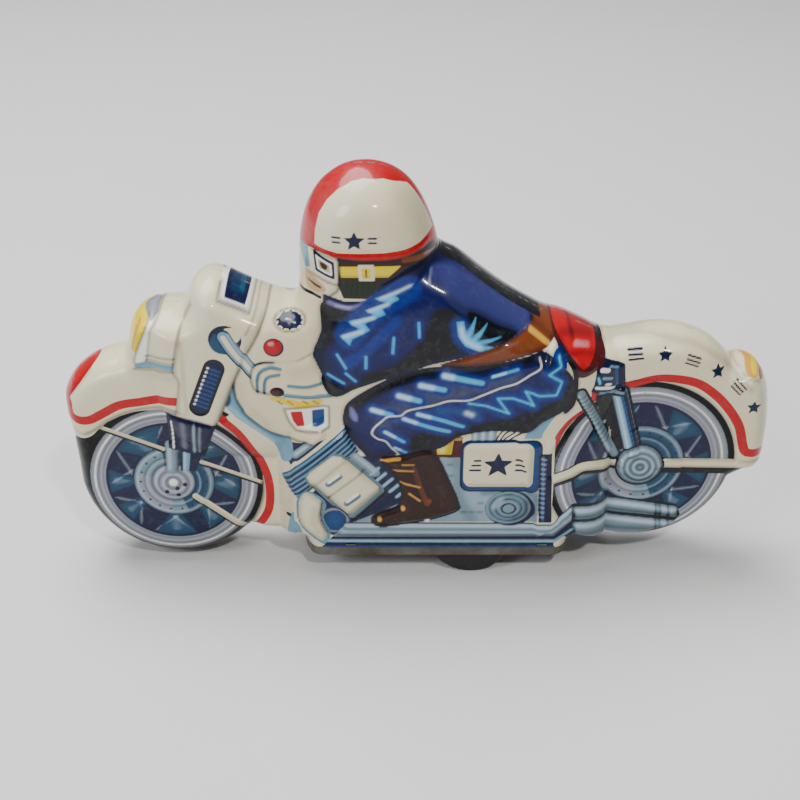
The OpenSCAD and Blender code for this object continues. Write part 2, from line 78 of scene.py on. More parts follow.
FRONT_WHEEL = (-73.5, 30.9, 29.6)
REAR_WHEEL = (66.9, 37.2, 29.8)
HEM_Z = 11
TIN = 0.4
# the blank that the sheet is trimmed from: front end, length, top, and how far it
# reaches below the hem
BLANK_X = -106
BLANK_LONG = 212
BLANK_TOP = 130
BELOW_HEM = 11
# spacing of the grid that carries the print
CELL = 0.47
# radius of the pressed edge, half width over the wheels, and the die's greatest depth
EDGE_R = 6
WHEEL_HALF = 9.5
DEEPEST = 19
# the toy is drawn in millimetres and built in metres
MM = 0.001


def arc(at, start, end, steps):
    """Points of a circle from one angle to another, in degrees."""
    return [
        (at[0] + at[2] * math.cos(math.radians(a)), at[1] + at[2] * math.sin(math.radians(a)))
        for a in np.linspace(start, end, steps)
    ]


def spline(points, closed, steps=5):
    """A smooth curve through given points."""
    q = [np.array(p, float) for p in points]
    n = len(q)
    spans = n if closed else n - 1
    out = []
    for i in range(spans):
        a, b, c, d = (
            [q[(i + k) % n] for k in (-1, 0, 1, 2)]
            if closed
            else [q[max(i - 1, 0)], q[i], q[i + 1], q[min(i + 2, n - 1)]]
        )
        for t in np.arange(steps) / steps:
            out.append(
                0.5 * (2 * b + (c - a) * t + (2 * a - 5 * b + 4 * c - d) * t**2
                       + (3 * b - a - 3 * c + d) * t**3)
            )
    if not closed:
        out.append(q[-1])
    return np.array(out)


def to_line(p, line):
    """Distance from each point to an open line, and the nearest place on it."""
    best = np.full(len(p), 1e9)
    near = np.zeros_like(p)
    for a, b in zip(line[:-1], line[1:]):
        v = b - a
        k = np.clip((p - a) @ v / max(v @ v, 1e-9), 0, 1)
        q = a + k[:, None] * v
        d = np.hypot(p[:, 0] - q[:, 0], p[:, 1] - q[:, 1])
        m = d < best
        best[m] = d[m]
        near[m] = q[m]
    return best, near


def inside(p, loop):
    """Which points lie inside a closed outline."""
    hit = np.zeros(len(p), bool)
    for a, b in zip(loop, np.roll(loop, -1, 0)):
        if a[1] == b[1]:
            continue
        m = (a[1] > p[:, 1]) != (b[1] > p[:, 1])
        hit ^= m & (p[:, 0] < (b[0] - a[0]) * (p[:, 1] - a[1]) / (b[1] - a[1]) + a[0])
    return hit


def ramp(v):
    """An S-shaped step from 0 to 1."""
    v = np.clip(v, 0, 1)
    return v * v * (3 - 2 * v)


seam = np.array(
    WEB_LINE
    + arc(FRONT_WHEEL, -41, -173, 60)[1:]
    + [(-103, 34), (-103.6, 45), (-104.6, 52)]
    + [tuple(v) for v in spline(TOP_LINE, False, 3)]
    + arc(REAR_WHEEL, -13.2, -103, 45)[1:]
    + LOW_LINE
)
sheet_loop = np.vstack([seam, [(48, HEM_Z - 0.2), (-35.5, HEM_Z - 0.2)]])


def swell(p, at, reach):
    """A soft hill, 1 high at its middle."""
    return np.exp(-(((p[:, 0] - at[0]) / reach[0]) ** 2) - ((p[:, 1] - at[1]) / reach[1]) ** 2)


def half_width(p):
    """Half width of the body before its edge is rounded: engine, rider, helmet, fairing."""
    w = np.full(len(p), WHEEL_HALF)
    for x, z, rx, rz, power, wide in (
        (8, 22, 50, 36, 6, 17), (12, 66, 46, 43, 2, 18.2),
        (-13.5, 104, 21, 25, 2, 15.7), (-47, 71, 29, 32, 3, 13.8),
    ):
        q = (np.abs(p[:, 0] - x) / rx) ** power + (np.abs(p[:, 1] - z) / rz) ** power
        w = np.maximum(w, WHEEL_HALF + (wide - WHEEL_HALF) * np.maximum(0, 1 - q * q))
    return w


def rounding(p):
    """Radius of the pressed edge: larger round the helmet, the back and the fairing."""
    return (EDGE_R + 8 * swell(p, (-13.5, 108), (18, 20)) + 4 * swell(p, (28, 84), (26, 16))
            + 3 * swell(p, (-52, 88), (14, 10)) - 3 * swell(p, (-78, 78), (6, 8)))


def flat_sheet(cell, rim, rows, last):
    """The unpressed sheet: a square grid trimmed to the outline, with a band of
    finer rows, rim wide, that ends at the distance last from the seam."""
    bm = bmesh.new()
    below = int(round(BELOW_HEM / cell))
    nx = int(round(BLANK_LONG / cell))
    nz = int(round((BLANK_TOP - HEM_Z) / cell)) + below
    bmesh.ops.create_grid(bm, x_segments=nx, y_segments=nz, size=0.5)
    low = HEM_Z - below * cell
    p = np.array([v.co[:2] for v in bm.verts])
    p = np.stack([BLANK_X + (p[:, 0] + 0.5) * nx * cell, low + (p[:, 1] + 0.5) * nz * cell], 1)
    d = to_line(p, seam)[0]
    d = np.where(inside(p, sheet_loop), d, -d)
    bm.verts.index_update()
    drop = [f for f in bm.faces if sum(d[v.index] for v in f.verts) / 4 < rim]
    for v, q in zip(bm.verts, p):
        v.co = (q[0], q[1], 0)
    bmesh.ops.delete(bm, geom=drop, context="FACES")
    edge = [e for e in bm.edges if e.is_boundary]
    verts = list({v for e in edge for v in e.verts})
    q = np.array([v.co[:2] for v in verts])
    d, near = to_line(q, seam)
    for v, a, dist, n in zip(verts, q, d, near):
        if a[1] > HEM_Z + 0.01 or dist < rim + 1.6 * cell:
            v.co[:2] = n + (a - n) * rim / dist
            v.tag = True
    edge = [e for e in edge if e.verts[0].tag and e.verts[1].tag]
    # rows that come out evenly spaced once the edge is pressed round
    out = math.sqrt(1 - (1 - rim / EDGE_R) ** 2)
    steps = [EDGE_R * (1 - math.sqrt(1 - (out * (1 - k / rows)) ** 2)) for k in range(rows + 1)]
    for k in range(rows):
        new = bmesh.ops.extrude_edge_only(bm, edges=edge)["geom"]
        edge = [e for e in new if isinstance(e, bmesh.types.BMEdge)]
        verts = list({v for e in edge for v in e.verts})
        q = np.array([v.co[:2] for v in verts])
        dist, near = to_line(q, seam)
        goal = max(steps[k + 1], last)
        for v, a, s, n in zip(verts, q, dist, near):
            v.co[:2] = n + (a - n) * goal / max(s, 1e-4)
    bmesh.ops.recalc_face_normals(bm, faces=bm.faces[:])
    return bm


INKS = {
    # name: (red, green, blue) of the dry ink, and how soft its edge is printed in mm
    "cream": ((0.82, 0.79, 0.67), 0.16), "red": ((0.66, 0.02, 0.05), 0.16),
    "navy": ((0.02, 0.05, 0.20), 0.25), "jacket": ((0.03, 0.06, 0.29), 1.2),
    "violet": ((0.17, 0.19, 0.40), 1.0), "cyan": ((0.30, 0.70, 0.88), 0.7),
    "teal": ((0.05, 0.24, 0.35), 0.9), "sky": ((0.38, 0.55, 0.64), 0.4),
    "grey": ((0.52, 0.54, 0.58), 0.3), "tyre": ((0.03, 0.05, 0.035), 0.25),
    "brown": ((0.16, 0.07, 0.03), 0.5), "gold": ((0.76, 0.56, 0.22), 0.4),
    "belt": ((0.42, 0.20, 0.07), 0.5), "maroon": ((0.25, 0.03, 0.04), 0.7),
    "yellow": ((0.85, 0.74, 0.05), 0.2), "white": ((0.90, 0.90, 0.87), 0.4),
    "black": ((0.01, 0.012, 0.025), 0.35), "flesh": ((0.74, 0.60, 0.44), 0.3),
    "lilac": ((0.42, 0.41, 0.62), 0.8), "blue": ((0.05, 0.23, 0.44), 0.35),
    "steel": ((0.42, 0.51, 0.56), 0.35), "green": ((0.09, 0.14, 0.05), 0.7),
    "shade": ((0.01, 0.015, 0.05), 1.8), "glow": ((0.03, 0.15, 0.45), 1.8),
}
INK_AT = {name: i for i, name in enumerate(INKS)}
# further off than the soft edge of any ink
FAR = 9.0


class Print:
    """The printed picture, kept at each point of the sheet as the distance to the
    edge of every ink, with the depth of pressing and a dark or light airbrushing."""

    def __init__(self, p, slant):
        self.p = p
        self.slant = slant
        self.ink = np.full((len(p), len(INKS)), FAR)
        self.ink[:, INK_AT["cream"]] = -FAR
        self.tone = np.zeros(len(p))
        self.lift = np.zeros(len(p))

    def close_to(self, pts, reach):
        """Points in the box round a shape, which are all that it can touch."""
        lo, hi = pts.min(0) - reach, pts.max(0) + reach
        return np.where(((self.p > lo) & (self.p < hi)).all(1))[0]

    def lay(self, name, at, s):
        """Covers what is inside s with one ink, over any airbrushing there."""
        d = np.maximum(self.ink[at], -s[:, None])
        k = INK_AT[name]
        d[:, k] = np.minimum(self.ink[at, k], s)
        self.ink[at] = d
        self.tone[at] *= ramp(0.5 + s / 0.7)

    def press(self, at, s, lift, edge, dark, band):
        """Raises a shape on the die, and shades a band inside its edge."""
        if lift:
            self.lift[at] += lift * ramp(-s / edge)
        if dark:
            self.tone[at] += -dark * ramp(1 + s / band) * (s < 0)

    def fill(self, name, pts, lift=0, edge=1.2, dark=0, band=2.5, curved=True):
        loop = spline(pts, True) if curved else np.array(pts, float)
        at = self.close_to(loop, 2)
        q = self.p[at]
        s = to_line(q, np.vstack([loop, loop[:1]]))[0]
        s = np.where(inside(q, loop), -s, s)
        self.lay(name, at, s)
        self.press(at, s, lift, edge, dark, band)

    def line(self, name, pts, wide, lift=0, curved=True):
        path = spline(pts, False) if curved and len(pts) > 2 else np.array(pts, float)
        at = self.close_to(path, wide / 2 + 2)
        s = to_line(self.p[at], path)[0] - wide / 2
        self.lay(name, at, s)
        self.press(at, s, lift, 0.8, 0, 1)

    def oval(self, name, c, rx, rz=None, lift=0, edge=1.2, dark=0, band=2, hole=0):
        rz = rz or rx
        at = self.close_to(np.array([(c[0] - rx, c[1] - rz), (c[0] + rx, c[1] + rz)]), 2)
        q = self.p[at] - c
        s = (np.hypot(q[:, 0] / rx, q[:, 1] / rz) - 1) * min(rx, rz)
        if hole:
            s = np.maximum(s, hole - np.hypot(q[:, 0], q[:, 1] * rx / rz))
        self.lay(name, at, s)
        self.press(at, s, lift, edge, dark, band)

    def ring(self, name, c, r, wide):
        self.oval(name, c, r + wide / 2, hole=r - wide / 2)

    def spray(self, pts, amount, reach, curved=True):
        """Soft airbrushing along a line: lighter if amount is positive. A short
        reach makes a thin drawn outline."""
        path = spline(pts, False) if curved and len(pts) > 2 else np.array(pts, float)
        at = self.close_to(path, reach * 2.5)
        s = to_line(self.p[at], path)[0]
        self.tone[at] += amount * np.exp(-((s / reach) ** 2))

    def halo(self, c, r, amount, reach=0.4):
        """A thin airbrushed circle."""
        self.spray(arc((c[0], c[1], r), 0, 360, 40), amount, reach, False)


def star(at, r):
    """A five-pointed star."""
    return [
        (at[0] + reach * math.sin(k * math.pi / 5), at[1] + reach * math.cos(k * math.pi / 5))
        for k, reach in enumerate([r, r * 0.42] * 5)
    ]


def rounded_box(x0, z0, x1, z1, r):
    """A box with round corners, anticlockwise."""
    return (arc((x1 - r, z1 - r, r), 0, 90, 6) + arc((x0 + r, z1 - r, r), 90, 180, 6)
            + arc((x0 + r, z0 + r, r), 180, 270, 6) + arc((x1 - r, z0 + r, r), 270, 360, 6))


def printed_wheel(pr, c, rim, disc, brake, hub):
    """A spoked wheel as the printer drew it: rim, blue shade behind crossed spokes,
    brake drum and hub."""
    pr.oval("grey", c, rim, dark=0.4, band=1.1)
    pr.ring("white", c, disc + 3.2, 0.55)
    pr.halo(c, disc + 2.2, -0.5)
    pr.halo(c, disc + 1.5, 0.3)
    pr.halo(c, disc + 0.9, -0.35)
    pr.oval("navy", c, disc, dark=0.2, band=2.5)

    def at(r, a):
        return c[0] + r * math.cos(a), c[1] + r * math.sin(a)

    for a, b in ((98, 146), (168, 192), (206, 226), (250, 286), (300, 322), (340, 372), (30, 66)):
        m = math.radians((a + b) / 2)
        inner = at(brake * 0.8, m)
        pr.fill("teal", [inner] + arc((c[0], c[1], disc - 0.9), a, b, 6), curved=False,
                dark=0.3, band=2)
        pr.spray([inner, at(disc * 0.86, m)], 0.14, 1.3)
    for k in range(7):
        a = math.radians(51 * k + 12)
        for lean in (-0.32, 0.32):
            pr.spray([at(brake * 0.9, a - lean), at(disc * 0.95, a + lean)], 0.32, 0.34)
    pr.oval("steel", c, brake, lift=0.35, edge=1)
    pr.fill("teal", [c] + arc((c[0], c[1], brake - 0.8), -70, 105, 12), curved=False)
    pr.fill("grey", [c] + arc((c[0], c[1], brake - 0.8), 165, 262, 9), curved=False)
    pr.halo(c, brake, -0.45, 0.5)
    pr.halo(c, brake - 0.9, 0.4, 0.4)
    pr.halo(c, brake - 3.1, -0.5)
    pr.halo(c, brake - 3.9, 0.3)
    for k in range(18):
        pr.oval("navy", at(brake - 2, math.radians(20 * k)), 0.42)
    pr.oval("grey", c, hub, lift=0.7, edge=2)
    pr.halo(c, hub + 0.3, -0.7, 0.5)
    pr.halo(c, hub - 0.8, 0.45)
    pr.halo(c, hub * 0.7, -0.55)
    pr.halo(c, hub * 0.5, 0.4)
    pr.halo(c, hub * 0.34, -0.6)
    pr.oval("white", (c[0], c[1] + 0.2), hub * 0.2, lift=0.4, edge=1)


def draw_front_wheel(pr):
    c = (-73.4, 30.2)
    pr.oval("tyre", (-73.5, 30.9), 31.5)
    printed_wheel(pr, c, 25.2, 20.5, 12, 6.3)
    for x, z in ((-70, 29.6), (-72.4, 28.2), (-72.2, 25.8), (-75.6, 27)):
        pr.oval("black", (x, z), 0.75)
    # fork: dark sliding part, bright leg and its stripes
    pr.line("steel", [(-73.2, 43), (-73.4, 35.4)], 3.8, lift=0.6)
    pr.spray([(-71.2, 42), (-71.6, 35)], -0.6, 0.5)
    pr.spray([(-75.2, 43), (-75.4, 35)], -0.6, 0.4)
    pr.spray([(-73.8, 42), (-74, 35.6)], 0.5, 0.6)
    pr.fill("navy", [(-70.9, 42), (-64, 40), (-66.4, 33.8), (-70.9, 34.4)], curved=False)
    pr.fill("sky", [(-69.8, 41.4), (-67.6, 40.6), (-68.6, 33.8), (-70.2, 34.4)], curved=False)
    pr.spray([(-69.2, 41), (-69.8, 34.6)], 0.6, 0.4)
    pr.fill("navy", [(-73.6, 55), (-58.8, 52), (-60.9, 46.4), (-63.4, 39), (-66.8, 39.8),
                     (-73.8, 42.4)], curved=False, lift=0.7, dark=0.4, band=2)
    for k in range(7):
        pr.line("white", [(-72.2, 52.4 - 1.5 * k), (-72.3, 51.5 - 1.5 * k)], 0.6)
    pr.spray([(-65.2, 53), (-66.4, 40.4)], 0.55, 0.4)
    pr.spray([(-63.4, 52.6), (-64.8, 41)], 0.3, 0.4)
    pr.spray([(-68.6, 53), (-69.2, 42)], 0.2, 0.9)
    # mudguard stays
    for a, b, w in (((-94, 49.4), (-75.6, 41.7), 1.2), ((-64.6, 37.2), (-46.8, 29.8), 1.2),
                    ((-67.2, 25), (-52, 12.6), 2)):
        pr.line("black", [(a[0], a[1] - 0.6), (b[0], b[1] - 0.6)], w + 0.3)
        pr.line("cream", [a, b], w, lift=0.4)
        pr.spray([(a[0], a[1] - 0.3), (b[0], b[1] - 0.3)], -0.35, 0.4)


def draw_front_mudguard(pr):
    pr.line("cream", [(-102, 45.6), (-97, 46.6), (-92.4, 51.2), (-86, 54.2), (-79.6, 55.6),
                      (-66, 56)], 1.2)
    guard = [(-105.5, 47.6), (-101, 46.2), (-98, 46.3), (-94.8, 48), (-91.3, 51), (-86, 53.8),
             (-80.8, 55.3), (-74, 56), (-66, 55.5), (-66, 92), (-110, 92), (-110, 47)]
    pr.fill("cream", guard, curved=False, lift=0.9, edge=1.6)
    # painted shade along the guard's lower edge, where its raised lip stands over the wheel
    pr.spray([(-103.5, 48.6), (-98.5, 47), (-94, 49.2), (-88, 53.2), (-80, 55.6), (-70, 56)],
             -0.5, 0.7)
    pr.spray([(-101, 60), (-95, 62), (-88, 64.5), (-80, 66)], 0.10, 3)
    pr.spray([(-84, 68.6), (-78, 67.6), (-70, 67.8)], -0.14, 1.6)
    pr.line("red", [(-102.4, 57.4), (-102, 53.6), (-99.6, 52.2), (-96.2, 52.2), (-92.3, 54.3),
                    (-87, 57.2), (-80.5, 58.4), (-75.5, 59.3), (-68, 60.4)], 2.8)
    pr.fill("red", [(-105.6, 57), (-105, 61.5), (-99.5, 66.6), (-94, 71.4), (-91.6, 71.2),
                    (-95.6, 66.6), (-100, 61.2), (-102.4, 58.2)], lift=0.4)
    pr.spray([(-102.6, 58.2), (-99.8, 61.6), (-95.2, 67)], -0.35, 0.7)
    # web behind the wheel, with the guard's red line and its round end
    web = arc((-73.4, 30.2, 26.9), 58, -40, 16) + [(-50, 8), (-36, 8), (-36, 44), (-48, 60)]
    pr.fill("cream", web, curved=False, lift=0.6, edge=1.4)
    # painted shadow along the web's edge, where it stands over the wheel
    pr.spray(arc((-73.4, 30.2, 27), 56, -40, 16), -0.8, 0.7)
    pr.spray([(-36.5, 40), (-37.5, 28), (-38.5, 16)], -0.2, 2)
    pr.line("red", [(-58.6, 56), (-57.4, 55), (-52, 49.2), (-47.6, 40), (-45.1, 32.8), (-44.5, 26.4),
                    (-45.3, 20), (-48.2, 14.8)], 2.6)
    pr.oval("red", (-48.9, 14), 1.5)
    pr.fill("sky", [(-37.6, 23), (-39.4, 14.4), (-38, 12.4), (-34.8, 13.4), (-35.6, 19)])
    pr.oval("black", (-38.7, 21.4), 0.9, 0.7)


def draw_lamp_and_fairing(pr):
    # headlamp: lens, rim and bucket
    pr.fill("cream", [(-80.6, 69.4), (-68.6, 70.2), (-65.8, 84), (-62.5, 92), (-84, 92),
                      (-83.6, 74)], curved=False, lift=1.3, edge=1.5, dark=0.12, band=1.5)
    pr.fill("yellow", [(-76.2, 90), (-76.2, 83.8), (-77.6, 81.2), (-80, 75.4), (-86, 76.4),
                       (-84, 90)], curved=False)
    pr.fill("white", [(-75.4, 84.4), (-74.4, 83), (-75.9, 80.8), (-77.9, 70), (-81, 69.9),
                      (-80.8, 73.6), (-77.4, 81.4)], curved=False)
    pr.fill("grey", [(-79.6, 85.6), (-77.4, 84.9), (-75.4, 83.9), (-74, 85), (-74.8, 92),
                     (-79.8, 92)], curved=False, dark=0.3, band=1.5)
    pr.line("gold", [(-78.9, 83.6), (-80.4, 79.6), (-81.4, 76)], 0.8)
    for pts in ([(-73.8, 88), (-73.6, 85), (-75, 82.9), (-75.9, 80.6), (-77.9, 70.2)],
                [(-76.3, 84.4), (-77.5, 81.2), (-80.6, 73.8), (-80.9, 69.9)]):
        pr.spray(pts, -0.65, 0.4)
    pr.spray([(-76.2, 80), (-77.8, 72)], 0.2, 0.8)
    pr.fill("sky", [(-81, 69.5), (-68.8, 70.2), (-68.3, 72.8), (-78, 72.4), (-80.8, 71.8)],
            curved=False)
    pr.spray([(-78.6, 70.4), (-69, 71)], 0.4, 0.5)
    for pts in ([(-81.6, 69.2), (-75, 69.2), (-68.8, 70)], [(-78, 72.8), (-68.2, 73.3)],
                [(-77.6, 74.2), (-68, 74.9)]):
        pr.spray(pts, -0.55, 0.4)
    # fairing, its screen and the recess for the handlebar
    pr.fill("cream", [(-62.5, 96), (-64.2, 89), (-66.6, 84), (-67.8, 80), (-69.7, 70),
                      (-68.4, 66.5), (-70.2, 56), (-70.4, 54.4), (-64.8, 53.4), (-59.2, 51.8),
                      (-57, 55.5), (-52.6, 66.5), (-48.8, 75.2), (-46, 80), (-43.8, 84.6),
                      (-42.3, 89), (-42, 96)], curved=False, lift=0.9, edge=1.3)
    for pts, dark in (
        ([(-64, 89), (-66.6, 84), (-67.8, 80), (-69.7, 70), (-68.4, 66.5), (-70.2, 55.6)], -0.55),
        ([(-67, 80), (-68.8, 70.4), (-67.6, 66.4), (-69.2, 56)], -0.3),
        ([(-70.2, 54.4), (-64.8, 53.4), (-59.4, 51.8)], -0.7),
        ([(-59.4, 52), (-57.2, 55.5), (-52.8, 66.5), (-49.2, 74)], -0.6),
        ([(-42.2, 92), (-42.5, 88.4), (-43.9, 84.6), (-46.2, 79.8), (-48.8, 75.4)], -0.7),
        ([(-45.2, 93), (-45.2, 89.2), (-46.6, 85.6), (-48.3, 82.4)], -0.45),
    ):
        pr.spray(pts, dark, 0.42)
    pr.spray([(-43.6, 90), (-44.8, 86), (-47.2, 81), (-49.6, 75.6)], -0.18, 1.1)
    pr.spray([(-57.5, 56), (-53.5, 65.5), (-50.5, 71)], -0.2, 1.4)
    pr.spray([(-66.5, 60), (-65, 72), (-62, 84), (-60, 90)], 0.12, 2.2)
    pr.fill("white", [(-56.4, 99), (-55.4, 94.4), (-56, 91.6), (-47.3, 87.6), (-46.4, 90.7),
                      (-46.2, 99)], curved=False)
    pr.spray([(-55.6, 94.4), (-56, 91.6), (-47.3, 87.6), (-46.4, 91)], -0.7, 0.4, False)
    pr.spray([(-55, 94.4), (-55.2, 91.8), (-48, 88.4), (-47.1, 91)], -0.3, 0.4, False)
    pr.fill("navy", [(-54.6, 99), (-53.9, 94.4), (-54.2, 91.9), (-48.5, 89.2), (-47.7, 91.4),
                     (-47.2, 99)], curved=False)
    pr.fill("teal", [(-52.4, 99), (-52.3, 92.7), (-49.1, 91.2), (-48.2, 99)], curved=False)
    for k in range(3):
        pr.line("navy", [(-52.6, 93.2 + 0.6 * k), (-50.4, 91.9 + 0.6 * k)], 0.3)
    # ribbed air vent
    a, b = np.array((-57.9, 71.6)), np.array((-62.9, 58.9))
    pr.line("black", [a, b], 6.2, lift=-0.35)
    pr.line("navy", [a, b], 5)
    for k in range(10):
        m = a + (b - a) * (k + 0.3) / 9.6
        pr.line("blue", [m + (-1.1, 0.3), m + (1.8, -0.9)], 0.65)
        pr.oval("white", m + (-1.6, 0.5), 0.4)
    # recess and handlebar
    pr.oval("navy", (-54.2, 80.8), 4.7, 4.5)
    pr.oval("teal", (-54.9, 79.8), 3.6, 3.4)
    pr.oval("cream", (-52.8, 82), 3, 2.6)
    for name, wide, lift in (("navy", 4.3, 0), ("sky", 3.2, 0.5), ("cream", 1.5, 0)):
        pr.line(name, [(-54.6, 81.8), (-51.8, 76.8), (-46, 69.4)], wide, lift=lift)
    pr.spray([(-53.2, 82.4), (-50.4, 77.6), (-46.2, 71.8)], 0.4, 0.5)


def draw_tank(pr):
    tank = [(-42.5, 96), (-43.9, 84.6), (-48.8, 75.4), (-52.6, 67.5), (-52.2, 61.6), (-49.6, 56.5),
            (-44.6, 51.7), (-38.9, 48.4), (-30.1, 47.6), (-22, 52), (-20.5, 60), (-18, 66),
            (-26, 70), (-28.6, 77), (-26.6, 84), (-26, 94)]
    pr.fill("sky", [(-57.6, 64), (-54.6, 57.5), (-48, 51.6), (-42, 46), (-40.2, 40), (-37, 42),
                    (-37, 47.6), (-42, 54), (-50, 62), (-53, 68)])
    pr.spray([(-57, 62), (-54, 58), (-48, 52.4), (-42.4, 47)], 0.3, 0.8)
    pr.fill("teal", [(-56.6, 61.4), (-54.6, 64.6), (-53.8, 61), (-55, 58.8)])
    pr.fill("cream", tank, lift=0.6, edge=2.5, curved=False)
    pr.spray([(-52.8, 67.5), (-52.4, 61.6), (-49.8, 56.4), (-44.8, 51.6), (-38.9, 48.3),
              (-31, 47.6)], -0.75, 0.5)
    pr.spray([(-50.6, 66), (-50.6, 61.6), (-48.4, 57.6), (-43.6, 53.4)], -0.15, 1.6)
    pr.spray([(-46.5, 72.6), (-43.2, 73.6), (-37.8, 73.4), (-34.1, 73.9), (-30.1, 76.2)], -0.6, 0.4)
    # dial with a white hand, laid out round on the sloping top, and the red tell-tale lamp
    flat = pr.p
    pr.p = pr.slant
    c = (-36, 68.6)
    pr.oval("cream", c, 4.8, 3.7)
    pr.spray([(c[0] + 4.4 * math.cos(a), c[1] + 3.3 * math.sin(a)) for a in np.linspace(0, 6.3, 40)],
             -0.75, 0.4, False)
    pr.oval("navy", c, 3.3, 2.5)
    for k in range(12):
        a = math.radians(30 * k)
        pr.line("navy", [(c[0] + 3.9 * math.cos(a), c[1] + 2.9 * math.sin(a)), c], 0.5)
    pr.oval("navy", c, 3.1, 2.4)
    pr.line("white", [(-37.6, 69.3), (-34.5, 67.9)], 0.5)
    pr.p = flat
    pr.oval("navy", (-40.7, 78.3), 2.9, 2.9)
    pr.oval("red", (-40.8, 78.4), 2.5, 2.5, lift=0.3, dark=0.2)
    pr.spray([(-41.8, 79.6), (-41, 79.8)], 0.6, 0.6)


def draw_hand(pr):
    # gloved hand on the grip
    pr.fill("cream", [(-46.9, 71.8), (-47.5, 68.3), (-46.6, 64.6), (-43.3, 63.5), (-38.6, 61.8),
                      (-28, 61), (-24, 62.8), (-27.5, 70), (-30, 75.8), (-34, 73.9), (-43, 73.4)],
            lift=0.7, edge=1.5, curved=False)
    for pts, w in (([(-45.9, 64.2), (-45.4, 70), (-42.2, 72.2), (-39, 71.8)], 0.9),
                   ([(-44, 63.8), (-43.2, 68.8), (-39.4, 70)], 0.9),
                   ([(-37, 66.4), (-31.5, 66), (-26.2, 67.6)], 0.9),
                   ([(-38, 63.2), (-31, 62.4), (-25, 63.4)], 1.3)):
        pr.line("sky", pts, w)
        pr.spray([(x, z - w / 2) for x, z in pts], -0.6, 0.4)
    pr.spray([(-41, 73.4), (-44.8, 73.2), (-46.9, 71.8), (-47.6, 68.3), (-46.6, 64.6),
              (-43.3, 63.4), (-38.6, 61.7)], -0.75, 0.4)
    pr.spray([(-36, 70.4), (-31, 71.6)], -0.12, 2)
    pr.oval("black", (-40.3, 64.2), 2.1, 1.7, lift=0.3)
    pr.oval("maroon", (-40.6, 64.5), 1.1, 0.9)
    # gold wings over a two-colour shield
    pr.fill("yellow", [(-43.2, 61.9), (-38.5, 60), (-33.4, 58.2), (-28.2, 59.8), (-27.6, 61.4),
                       (-33, 60.6), (-38.3, 61.7)])
    for x in (-40.4, -37.4, -33, -30):
        pr.line("belt", [(x, 60.9), (x + 1.4, 59.8)], 0.4)
    pr.fill("white", [(-38.3, 58), (-25.8, 59), (-25.9, 53.2), (-28.4, 51.8), (-35.2, 51.3),
                      (-37, 54.2)], curved=False)
    pr.spray([(-38.6, 58.2), (-25.6, 59.2), (-25.7, 53), (-28.3, 51.4), (-35.4, 50.9),
              (-37.4, 54.1), (-38.6, 58.2)], -0.7, 0.4, False)
    pr.fill("red", [(-36.9, 57.3), (-33.4, 57.5), (-32.8, 52.4), (-35, 52.2), (-36.2, 54.3)],
            curved=False)
    pr.fill("blue", [(-30.6, 57.8), (-27, 58.1), (-27, 53.9), (-29.2, 52.7), (-30.6, 52.8)],
            curved=False)


